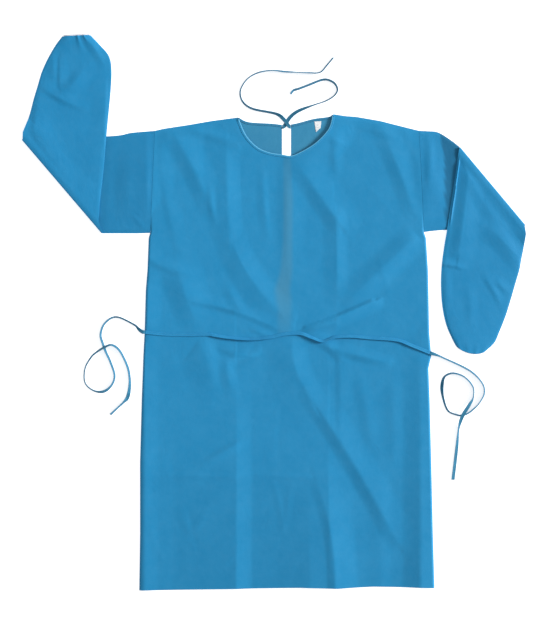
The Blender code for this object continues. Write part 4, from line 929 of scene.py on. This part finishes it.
def make_stage():
    """The camera straight above, the floor, the sun and the sky."""
    camera = bpy.data.cameras.new("camera")
    camera.lens = camera.sensor_width * CAMERA_HEIGHT / VIEW_HEIGHT
    view = bpy.data.objects.new("camera", camera)
    view.location = (*VIEW_MIDDLE, CAMERA_HEIGHT)
    bpy.context.scene.collection.objects.link(view)
    bpy.context.scene.camera = view
    bpy.context.scene.view_settings.view_transform = "Standard"

    shape = bmesh.new()
    bmesh.ops.create_grid(shape, x_segments=1, y_segments=1, size=FLOOR_HALF)
    mesh = bpy.data.meshes.new("floor")
    shape.to_mesh(mesh)
    shape.free()
    floor = add_object("floor", mesh, floor_material())
    floor.location.z = FLOOR_Z

    sun = bpy.data.lights.new("key", "SUN")
    sun.energy = SUN_STRENGTH
    sun.angle = SUN_SPREAD
    key = bpy.data.objects.new("key", sun)
    way = Vector((math.cos(SUN_ELEVATION) * math.cos(SUN_AZIMUTH),
                  math.cos(SUN_ELEVATION) * math.sin(SUN_AZIMUTH), math.sin(SUN_ELEVATION)))
    key.rotation_euler = way.to_track_quat("Z", "Y").to_euler()
    bpy.context.scene.collection.objects.link(key)

    world = bpy.data.worlds.new("studio")
    world.use_nodes = True
    sky = world.node_tree.nodes["Background"]
    sky.inputs["Color"].default_value = (1.0, 1.0, 1.0, 1.0)
    sky.inputs["Strength"].default_value = SKY_STRENGTH
    bpy.context.scene.world = world


# ------------------------------------------------------------------ strips and ties
def strip_frames(route):
    """Middle, flat way across and way through the thickness at each point of a strip."""
    way = np.gradient(route[:, :2], axis=0)
    way /= np.linalg.norm(way, axis=1, keepdims=True)
    roll = np.radians(route[:, 2])
    side = np.column_stack([way[:, 1], -way[:, 0], np.zeros(len(way))])
    across = np.cos(roll)[:, None] * side + np.sin(roll)[:, None] * UP
    through = -np.sin(roll)[:, None] * side + np.cos(roll)[:, None] * UP
    standing = TIE_WIDTH / 2 * np.abs(np.sin(roll)) + TIE_THICKNESS / 2 * np.cos(roll)
    middle = np.column_stack([route[:, :2], route[:, 3] + standing])
    return middle, across, through


def strip_profile():
    """Across and through of a folded strip's outline: thick folded edges, a groove between."""
    half = TIE_WIDTH / 2
    thick = TIE_THICKNESS / 2
    upper = [(-half, 0.0), (-half + 0.12, 0.62 * thick), (-half + 0.5, 0.96 * thick),
             (-half + 1.4, thick), (-half * 0.35, 0.86 * thick), (-0.35, 0.8 * thick),
             (0.0, 0.45 * thick), (0.35, 0.8 * thick), (half * 0.35, 0.86 * thick),
             (half - 1.4, thick), (half - 0.5, 0.96 * thick), (half - 0.12, 0.62 * thick),
             (half, 0.0)]
    lower = [(a, -0.94 * t) for a, t in upper[1:-1]][::-1]
    flat = [(a, min(t, -0.8 * thick) if abs(a) < 1.0 else t) for a, t in lower]
    return np.array(upper + flat)


def make_strip(name, route, cloth):
    """A strip along a route, with the points along its middle and its length."""
    middle, across, through = strip_frames(route)
    profile = strip_profile()
    rings = (middle[:, None] + profile[None, :, :1] * across[:, None]
             + profile[None, :, 1:] * through[:, None])
    run = walked(middle)
    uvs = np.stack(np.broadcast_arrays((profile[None, :, 0] + TIE_WIDTH / 2) * MM,
                                       run[:, None] * MM), axis=-1)
    piece = add_object(name, ring_mesh(name, rings, uvs, ends=True), cloth)
    return piece, middle, run[-1]


def make_tie(name, stations, node, cloth):
    """A free tie, as wide as its strip, that ends bare."""
    piece, middle, run = make_strip(name, evenly(stations), cloth)
    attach(piece, "root")
    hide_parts(node)


def height_finder(sheet):
    """A function for the height of a piece's upper face over a point."""
    tree = BVHTree.FromObject(sheet, bpy.context.evaluated_depsgraph_get())

    def height(x, y):
        hit = tree.ray_cast(Vector((x * MM, y * MM, 1.0)), Vector((0, 0, -1)))[0]
        return hit.z / MM if hit else 0.0

    return height


def evened(values, pick, span=4):
    """Values brought to the lowest or highest of their neighbours, then smoothed."""
    for settle in (pick, np.mean):
        padded = np.pad(values, span, mode="edge")
        values = settle([padded[i:i + len(values)] for i in range(2 * span + 1)], axis=0)
    return values


def belt_route(front):
    """The belt's curve, resting on the front all along."""
    height = height_finder(front)
    route = evenly(BELT_ROUTE)
    middle, across, _ = strip_frames(route)
    lifts = []
    for place, side in zip(middle, across):
        spots = [place[:2] + side[:2] * TIE_WIDTH / 2 * share for share in (-1, -0.5, 0, 0.5, 1)]
        lifts.append(max(height(*spot) for spot in spots))
    route[:, 3] = evened(np.array(lifts), np.max, 2) + REST_GAP
    return route


def belt_end(last, before, roll_sign):
    """The first stations of a waist tie, in line with the end of the belt that it leaves."""
    way = last[:2] - before[:2]
    way /= np.linalg.norm(way)
    return [(*(last[:2] + way * off), roll_sign * last[2], last[3]) for off in BELT_END_OFFS]


# ------------------------------------------------------------------ sleeves
def upper_hollow(sleeve, x, y, t):
    """Inner height of the upper sleeve at a point, t of the way across it."""
    lofted = ease((x - sleeve.rise_x[0]) / (sleeve.rise_x[1] - sleeve.rise_x[0]))
    folds = folds_rise(x, y, sleeve.upper_folds)
    across = (4 * t * (1 - t)) ** ROUND_POWER
    free = np.maximum(armhole_arch(y) + WEDGE_SHARE * folds, 0.0)
    return SEAM + across * (COVERED_GAP - SEAM) * (1 - lofted) + across * free * lofted


def upper_tone_and_shade(sleeve, places):
    """The upper sleeve's tone, with a shadow painted into it behind the forearm's raised edge."""
    border = np.interp(places[:, 1], *np.array(sleeve.pocket.border, float).T)
    inside = ease(sleeve.side * (places[:, 0] - border) / sleeve.pocket.width)
    return sleeve.tones[0] - sleeve.pocket.depth * inside


def seat_height(sleeve, x, y):
    """Height of the forearm's underside: on the upper sleeve, then down to the surface."""
    start, end = np.array(sleeve.crossed, float)
    way = (end - start) / np.linalg.norm(end - start)
    past = (way[0] * (y - start[1]) - way[1] * (x - start[0]))
    return FOREARM_SEAT * ease(1 - (past - SEAT_MARGIN) / SEAT_RAMP)


def gathered(sleeve, t, to_wrist):
    """Height of the wrist's gathers, t of the way across and so far from the wrist."""
    total = np.zeros_like(t)
    for gather in sleeve.gathers:
        wide = gather.width * (1 + GATHER_SPREAD * to_wrist / gather.reach)
        total += (gather.height * np.exp(-((t - gather.at) / wide) ** 2)
                  * ease(1 - to_wrist / gather.reach))
    return total


class Tube:
    """A sleeve's outer face as it is made: its rings, with the UVs and tones of their points."""

    def __init__(self):
        columns = round(SLEEVE_WIDTH / SLEEVE_STEP)
        crowded = (1 - np.cos(np.linspace(0, math.pi, columns + 1))) / 2
        even = np.linspace(0, 1, columns + 1)
        self.t = EDGE_CROWDING * crowded + (1 - EDGE_CROWDING) * even
        self.rings, self.rows, self.tones = [], [], []
        self.run = 0.0
        self.last = None

    def add(self, first, second, span, tone):
        """Add a ring that runs over one layer's points and back over the other's."""
        middle = first[len(first) // 2]
        if self.last is not None:
            self.run += np.linalg.norm(middle - self.last)
        self.last = middle
        u = (self.t - 0.5) * span
        tone = np.broadcast_to(tone, u.shape)
        self.rings.append(np.vstack([first, second[::-1]]))
        self.rows.append(np.column_stack([np.concatenate([u, 2 * span - u[::-1]]),
                                          np.full(2 * len(u), self.run)]))
        self.tones.append(np.concatenate([tone, tone[::-1]]))


def upper_edges(sleeve):
    """The upper sleeve's edges, from the armhole to the elbow fold's axis, and the way past it."""
    steps = np.linspace(0, 1, round(length_of(sleeve.shoulder_edge) / SLEEVE_STEP) + 1)
    shoulder = along(smooth_route(sleeve.shoulder_edge, UPPER_SPANS), steps)
    under = along(smooth_route(sleeve.under_edge, UPPER_SPANS), steps)
    armhole = shoulder[0] - under[0]
    across_seam = np.array([-armhole[1], armhole[0]]) / np.linalg.norm(armhole) * -sleeve.side
    fold = under[-1] - shoulder[-1]
    outward = np.array([fold[1], -fold[0]]) / np.linalg.norm(fold) * -sleeve.side
    for edge in (shoulder, under):
        edge[0] += across_seam * ARMHOLE_SEAM
        edge[-1] -= outward * FOLD_RADIUS
    return shoulder, under, outward


def add_layers(tube, ends, place, thick, tone, seam_top=0.0, share=0.0):
    """Add a ring as thick as told; the share of its upper layer takes the seam's height."""
    t = tube.t
    base = ends[0][None] + t[:, None] * (ends[1] - ends[0])[None]
    span = np.linalg.norm(ends[1] - ends[0])
    edge = 1 - ease(np.minimum(t, 1 - t) * span / UPPER_ROLL)
    top = np.maximum(thick * (1 - edge) + EDGE_THICK * edge, EDGE_THICK)
    lower = place(base, np.zeros_like(t))
    tube.add(lower, place(base, top * (1 - share) + seam_top * share), span, tone)
    return top


def add_upper_sleeve(tube, sleeve, shoulder, under, creases):
    """The rings from the armhole to the elbow, flat on the surface; the last one's thickness."""
    t = tube.t
    for outer, inner in zip(shoulder, under):
        across = outer[None] + t[:, None] * (inner - outer)[None]
        hollow = upper_hollow(sleeve, across[:, 0], across[:, 1], t)
        small = folds_rise(across[:, 0], across[:, 1], creases)
        small = small * ease((hollow - SMALL_FROM) / SMALL_OVER)
        seam_x = side_x(across[:, 1], "left" if sleeve.side > 0 else "right")
        seam_top = front_middle(seam_x - EDGE_INSET * sleeve.side, across[:, 1])
        add_layers(tube, (outer, inner),
                   lambda base, depth: np.column_stack([base, depth + REST_GAP]),
                   2 * CLOTH + hollow + small - INSIDE, upper_tone_and_shade(sleeve, across),
                   seam_top + SHELL / 2 - REST_GAP,
                   1 - ease(np.abs(across[:, 0] - seam_x) / SEAM_BLEND))
    return 2 * CLOTH + hollow - INSIDE


def add_elbow(tube, sleeve, axis, outward, thick):
    """The rings round the elbow fold, and the thickness that they end with."""
    for turn in range(1, ELBOW_TURNS):
        angle = math.pi * turn / ELBOW_TURNS

        def bent(base, depth, angle=angle):
            arm = (FOLD_RADIUS - depth)[:, None]
            flat = base + outward[None] * arm * math.sin(angle)
            return np.column_stack([flat, FOLD_RADIUS - arm[:, 0] * math.cos(angle)])

        top = add_layers(tube, axis, bent, thick, sleeve.tones[1])
    return top


def add_forearm(tube, sleeve, fold_top, creases):
    """The rings from the elbow to the wrist, on the upper sleeve and then on the surface."""
    t = tube.t
    table = smooth_route([(*row.outer, *row.under, row.hollow) for row in sleeve.forearm],
                         FOREARM_SPANS)
    middles = (table[:, :2] + table[:, 2:4]) / 2
    reached = walked(middles)
    even = np.linspace(0, reached[-1], round(reached[-1] / SLEEVE_STEP) + 1)
    table = np.column_stack([np.interp(even, reached, column) for column in table.T])
    wrist_way = middles[-1] - middles[-3]
    wrist_way /= np.linalg.norm(wrist_way)
    arch = (4 * t * (1 - t)) ** ROUND_POWER
    flank = sleeve.fold_flanks[0] * (1 - t) + sleeve.fold_flanks[1] * t
    for index, row in enumerate(table):
        outer, under, inner = row[:2], row[2:4], row[4]
        across = outer + t[:, None] * (under - outer)
        x, y = across.T
        span = np.linalg.norm(under - outer)
        to_wrist = even[-1] - even[index]
        cuff = ease((inner - CUFF_FROM) / (CUFF_GAP - CUFF_FROM))
        folds = folds_rise(x, y, sleeve.forearm_folds + creases) * (1 - FOLDS_LOST * cuff)
        hollow = np.maximum(SEAM + arch * (inner * HOLLOW_SHARE + folds - SEAM), SEAM)
        gathers = gathered(sleeve, t, to_wrist)
        edge = np.maximum(1 - ease(t * span / sleeve.rolls[0]),
                          1 - ease((1 - t) * span / sleeve.rolls[1]))
        top = (FOREARM_WALLS + hollow + gathers * GATHER_ABOVE) * (1 - edge) + EDGE_THICK * edge
        lips = folds_rise(x, y, sleeve.edge_folds)
        lips = lips * ease(index / LIP_RINGS) * ease((1 - t) * span / LIP_WIDTH)
        bowed = (sleeve.cuff_bulge * (4 * t * (1 - t)) ** BULGE_POWER
                 * ease(1 - to_wrist / BULGE_REACH))
        base = across + bowed[:, None] * wrist_way
        # the layer that rested on the surface at the armhole lies on top here
        seat = seat_height(sleeve, x, y) + REST_GAP
        from_fold = even[index] + SLEEVE_STEP
        high = seat + np.maximum(top, EDGE_THICK) + lips
        high = high + np.maximum(0.0, 1 - from_fold / flank) * (2 * FOLD_RADIUS - high)
        deep = seat + gathers[::-1] * GATHER_BELOW * arch
        deep = deep + ease(1 - from_fold / UNDER_FLANK) * (2 * FOLD_RADIUS - fold_top - deep)
        tube.add(np.column_stack([base, high]),
                 np.column_stack([base, np.minimum(deep, high - LAYERS_APART)]),
                 span, sleeve.tones[1])


def make_sleeve(sleeve, cloth):
    """A sleeve's shell, folded at the elbow, and the rings of its outer face."""
    tube = Tube()
    creases = random_creases(sleeve.strewn)
    shoulder, under, outward = upper_edges(sleeve)
    thick = add_upper_sleeve(tube, sleeve, shoulder, under, creases)
    fold_top = add_elbow(tube, sleeve, (shoulder[-1], under[-1]), outward, thick)
    add_forearm(tube, sleeve, fold_top, creases)
    rings, tones = np.array(tube.rings), np.array(tube.tones)
    name = sleeve.name + "_cloth"
    mesh = ring_mesh(name, rings, np.array(tube.rows) * MM,
                     {"tone": tones, "bare": np.zeros_like(tones)})
    return thicken(add_object(name, mesh, cloth), SHELL, -1.0), rings


def make_elastic(sleeve, rings, out, cloth):
    """The band inside the wrist, gathered with it and a little longer than the cloth."""
    count = rings.shape[1] // 2
    last = rings[-1]
    near = rings[-1 - round(CUFF_ROW / SLEEVE_STEP)]
    out_way = last.mean(axis=0) - near.mean(axis=0)
    out_way /= np.linalg.norm(out_way)
    within = slice(round(count * ELASTIC_FREE), round(count * (1 - ELASTIC_FREE)))
    upper = last[:count][within].copy()
    lower = last[count:][::-1][within].copy()
    upper[:, 2] = evened(upper[:, 2], np.min)
    lower[:, 2] = evened(lower[:, 2], np.max)
    bands, uvs = [], []
    for off in (-CUFF_ROW, -CUFF_ROW / 2, -1.0, out / 2, out):
        top = upper - UP * ELASTIC_CLEAR + out_way * off
        bottom = lower + UP * ELASTIC_CLEAR + out_way * off
        ring = np.vstack([top, bottom[::-1]])
        bands.append(ring)
        uvs.append(np.column_stack([walked(ring), np.full(len(ring), off)]) * MM)
    name = "cuff_elastic_" + sleeve.name.split("_")[1]
    piece = add_object(name + "_band", ring_mesh(name, bands, uvs), cloth)
    thicken(piece, ELASTIC_WALL, -1.0)
    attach(piece, "root")
    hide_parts(name)


# ------------------------------------------------------------------ trim
def outward_ways(line, turn):
    """Unit ways across a flat line, to its left for turn 1 and to its right for -1."""
    way = np.gradient(line[:, :2], axis=0)
    way /= np.linalg.norm(way, axis=1, keepdims=True)
    return np.column_stack([-way[:, 1], way[:, 0]]) * turn


def edge_strip(name, edge, ways, profile, height, cloth):
    """A strip along an edge: profile rows are how far out of the edge, and how high over the
    cloth's middle there."""
    outs = profile[:, 0]
    places = edge[:, None, :2] + ways[:, None] * outs[None, :, None]
    on_cloth = edge[:, None, :2] + ways[:, None] * np.minimum(outs, -EDGE_INSET)[None, :, None]
    middle = height(on_cloth[..., 0], on_cloth[..., 1])
    rings = np.dstack([places, middle + profile[None, :, 1]])
    uvs = np.stack(np.broadcast_arrays(outs[None] * MM, walked(edge[:, :2])[:, None] * MM), axis=-1)
    return add_object(name, ring_mesh(name, rings, uvs, ends=True), cloth)


def make_binding(name, edge, ways, profile, height, node, cloth):
    """A neck binding, in place of its solid."""
    piece = edge_strip(name, edge, ways, profile, height, cloth)
    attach(piece, "root")
    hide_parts(node)


def make_seam_tape(sleeve, front_edge, cloth):
    """The seam's turned-in edges under an armhole, which join the sleeve to the front."""
    ways = outward_ways(front_edge, 1) * -sleeve.side
    name = "armhole_seam_" + sleeve.name.split("_")[1]
    piece = edge_strip(name, front_edge, ways, SEAM_TAPE, front_middle, cloth)
    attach(piece, "root")


def back_height(x, y):
    """Height of the middle of a back's shell, which lies flat by the neck."""
    return np.full(np.shape(x), BACK_MID)


def make_label(cloth):
    """The blank tag: a thin folded strip, its lower end cut to a point."""
    corners = np.array(LABEL, float)
    u, v = np.meshgrid(np.linspace(0, 1, 13), np.linspace(0, 1, 17))
    top = corners[0] + u[..., None] * (corners[1] - corners[0])
    bottom = corners[3] + u[..., None] * (corners[2] - corners[3])
    flat = top + v[..., None] * (bottom - top)
    curl = LABEL_CURL * v ** 2 + LABEL_WAVE * np.sin(math.pi * u) * v
    height = BACK_MID + LABEL_GAP + curl
    tag = cloth_sheet("label_tag", flat[::-1], height[::-1], cloth, None, LABEL_SHELL)
    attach(tag, "root")
    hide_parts("label")


# ------------------------------------------------------------------ stitches
def stitch_tree():
    """Geometry Nodes: small rounded stitches at even steps along every line of a mesh."""
    tree = bpy.data.node_groups.new("stitches", "GeometryNodeTree")
    face = tree.interface
    face.new_socket("Geometry", in_out="INPUT", socket_type="NodeSocketGeometry")
    for label in ("Step", "Length", "Radius"):
        face.new_socket(label, in_out="INPUT", socket_type="NodeSocketFloat")
    face.new_socket("Thread", in_out="INPUT", socket_type="NodeSocketMaterial")
    face.new_socket("Geometry", in_out="OUTPUT", socket_type="NodeSocketGeometry")
    add = tree.nodes.new
    given = add("NodeGroupInput")
    line = add("GeometryNodeMeshToCurve")
    points = add("GeometryNodeCurveToPoints")
    points.mode = "LENGTH"
    bead = add("GeometryNodeMeshUVSphere")
    for label, value in (("Segments", 6), ("Rings", 5), ("Radius", 1.0)):
        bead.inputs[label].default_value = value
    half = add("ShaderNodeMath")
    half.operation = "MULTIPLY"
    half.inputs[1].default_value = 0.5
    size = add("ShaderNodeCombineXYZ")
    place = add("GeometryNodeInstanceOnPoints")
    real = add("GeometryNodeRealizeInstances")
    paint = add("GeometryNodeSetMaterial")
    out = add("NodeGroupOutput")
    for giver, output, taker, given_to in (
            (given, "Geometry", line, "Mesh"), (line, "Curve", points, "Curve"),
            (given, "Step", points, "Length"), (given, "Length", half, 0),
            (given, "Radius", size, "X"), (given, "Radius", size, "Y"), (half, 0, size, "Z"),
            (points, "Points", place, "Points"), (points, "Rotation", place, "Rotation"),
            (bead, "Mesh", place, "Instance"), (size, 0, place, "Scale"),
            (place, "Instances", real, "Geometry"), (real, "Geometry", paint, "Geometry"),
            (given, "Thread", paint, "Material"), (paint, "Geometry", out, "Geometry")):
        tree.links.new(giver.outputs[output], taker.inputs[given_to])
    return tree


def make_stitches(name, lines, thread, step):
    """A row of stitches along each line of points, as one plain mesh."""
    points, edges = [], []
    for line in lines:
        start = len(points)
        points += [tuple(np.asarray(point) * MM) for point in line]
        edges += [(i, i + 1) for i in range(start, len(points) - 1)]
    mesh = bpy.data.meshes.new(name + "_lines")
    mesh.from_pydata(points, edges, [])
    carrier = bpy.data.objects.new(name + "_lines", mesh)
    bpy.context.scene.collection.objects.link(carrier)
    tree = stitch_tree()
    modifier = carrier.modifiers.new("Stitches", "NODES")
    modifier.node_group = tree
    values = {"Step": step * MM, "Length": STITCH_LENGTH * MM, "Radius": STITCH_RADIUS * MM,
              "Thread": thread}
    for item in tree.interface.items_tree:
        if item.in_out == "INPUT" and item.name in values:
            modifier[item.identifier] = values[item.name]
    graph = bpy.context.evaluated_depsgraph_get()
    made = bpy.data.meshes.new_from_object(carrier.evaluated_get(graph))
    carrier.modifiers.remove(modifier)
    bpy.data.objects.remove(carrier, do_unlink=True)
    made.name = name
    made.polygons.foreach_set("use_smooth", [True] * len(made.polygons))
    piece = bpy.data.objects.new(name, made)
    bpy.context.scene.collection.objects.link(piece)
    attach(piece, "root")


# ------------------------------------------------------------------ making
make_stage()

belt_blue = strip_material("belt_blue", linear(40, 142, 192), linear(34, 134, 186))
strip_blue = strip_material("strip_blue", linear(52, 122, 152), linear(44, 110, 140))
front_cloth = cloth_material("front_cloth", linear(38, 142, 193), linear(32, 138, 189),
                             linear(76, 138, 166))
back_cloth = cloth_material("back_cloth", linear(59, 142, 180), linear(53, 136, 176),
                            linear(59, 142, 180))
elastic_white = elastic_material("elastic_white_ribs")
tag_white = label_material("tag_white")
thread = thread_material("thread_blue")
# the bindings' paler edge colours are painted highlights on their rounded folds
binding_pale = binding_material("binding_pale", linear(38, 140, 190), linear(92, 172, 212))
binding_deep = binding_material("binding_deep", linear(50, 124, 162), linear(58, 136, 174))
seam_cloth = strip_material("seam_cloth", linear(34, 134, 186), linear(28, 128, 180))
sleeve_cloth = cloth_material("sleeve_cloth", linear(36, 140, 192), linear(30, 136, 188),
                              linear(76, 138, 166))

# the front
flat, neck_columns = front_grid()
x, y = flat[..., 0], flat[..., 1]
# where the painted see-through light lies on the front
see_through_y = [row.y for row in PAINTED_SEE_THROUGH][::-1]
see_through_paint = {key: np.interp(y, see_through_y, [getattr(row, key) for row in PAINTED_SEE_THROUGH][::-1])
        for key in ("middle", "half", "strength")}
bare = see_through_paint["strength"] * ease(1.5 - np.abs(x - see_through_paint["middle"]) / see_through_paint["half"])
front_height = front_middle(x, y)
climb = np.gradient(front_height, axis=1) / np.gradient(x, axis=1)
# painted light and shade: the front's tone follows how its slope faces the sun
painted_slope_shade = np.clip(-PAINTED_SLOPE_SHADE * climb, -PAINTED_SLOPE_SHADE_LIMIT, PAINTED_SLOPE_SHADE_LIMIT)
tone = np.interp(y, TONE_Y, TONE_SHARE) + painted_slope_shade
front = cloth_sheet("front_cloth_panel", flat, front_height, front_cloth,
                    {"tone": tone.ravel(), "bare": bare.ravel()})
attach(front, "root")
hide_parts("front")

# the back halves
for side, corner, shoulder_line, neck in (
        ("right", HEM_RIGHT, SHOULDER_LINE_RIGHT, BACK_NECK_RIGHT),
        ("left", HEM_LEFT, SHOULDER_LINE_LEFT[::-1], BACK_NECK_LEFT)):
    grid = back_grid(side, corner, shoulder_line, neck)
    ripple = folds_rise(grid[..., 0], grid[..., 1], random_creases(BACK_STREWN))
    height = BACK_MID + np.clip(ripple, *BACK_RIPPLE)
    ones = np.ones(height.size)
    back = cloth_sheet(f"back_{side}_panel", grid, height, back_cloth,
                       {"tone": ones, "bare": np.zeros_like(ones)}, BACK_SHELL)
    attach(back, "root")
    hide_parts("back_" + side)

# the sleeves
edge_rows = y[:, 0] > UNDERARM_RIGHT[1]
front_edges = {"sleeve_right": flat[edge_rows, 0], "sleeve_left": flat[edge_rows, -1]}
for sleeve in (SLEEVE_RIGHT, SLEEVE_LEFT):
    piece, rings = make_sleeve(sleeve, sleeve_cloth)
    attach(piece, "root")
    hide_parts(sleeve.name)
    make_elastic(sleeve, rings, ELASTIC_OUT[sleeve.name], elastic_white)
    make_seam_tape(sleeve, front_edges[sleeve.name], seam_cloth)

# neck bindings, label and stitches
neck_edge = flat[-1, neck_columns]
make_binding("neck_binding_front_strip", neck_edge[1:-1], outward_ways(neck_edge, 1)[1:-1],
             FRONT_BINDING, front_middle, "neck_binding_front", binding_pale)
stitch_lines = []
for side, neck, turn in (("right", BACK_NECK_RIGHT, 1), ("left", BACK_NECK_LEFT, -1)):
    curve = smooth_route(neck, EDGE_SPANS)
    edge = along(curve, np.linspace(BINDING_START / length_of(curve), 1.0, BINDING_RINGS))
    ways = outward_ways(edge, turn)
    make_binding(f"neck_binding_back_{side}_strip", edge, ways, BACK_BINDING, back_height,
                 "neck_binding_back_" + side, binding_deep)
    stitch_lines.append(np.column_stack([edge - ways * BACK_STITCHES[0],
                                         np.full(len(edge), BACK_MID + BACK_STITCHES[1])]))
make_label(tag_white)
seam = (neck_edge - outward_ways(neck_edge, 1) * FRONT_STITCHES[0])[3:-4]
stitch_lines.append(np.column_stack([seam, front_middle(*seam.T) + FRONT_STITCHES[1]]))
make_stitches("neck_stitches", stitch_lines, thread, NECK_STITCH)

# belt and ties
belt = belt_route(front)
piece, middle, _ = make_strip("belt_strip", belt, belt_blue)
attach(piece, "root")
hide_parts("belt")
through = strip_frames(belt)[2]
make_stitches("belt_stitches", [(middle + through * BELT_STITCHES_UP)[2:-2]], thread, BELT_STITCH)
make_tie("waist_tie_right_strip", [*belt_end(belt[0], belt[1], -1), *WAIST_TIE_RIGHT],
         "waist_tie_right", strip_blue)
make_tie("waist_tie_left_strip", [*belt_end(belt[-1], belt[-2], 1), *WAIST_TIE_LEFT],
         "waist_tie_left", strip_blue)
make_tie("neck_tie_right_strip", NECK_TIE_RIGHT, "neck_tie_right", strip_blue)
make_tie("neck_tie_left_strip", NECK_TIE_LEFT, "neck_tie_left", strip_blue)
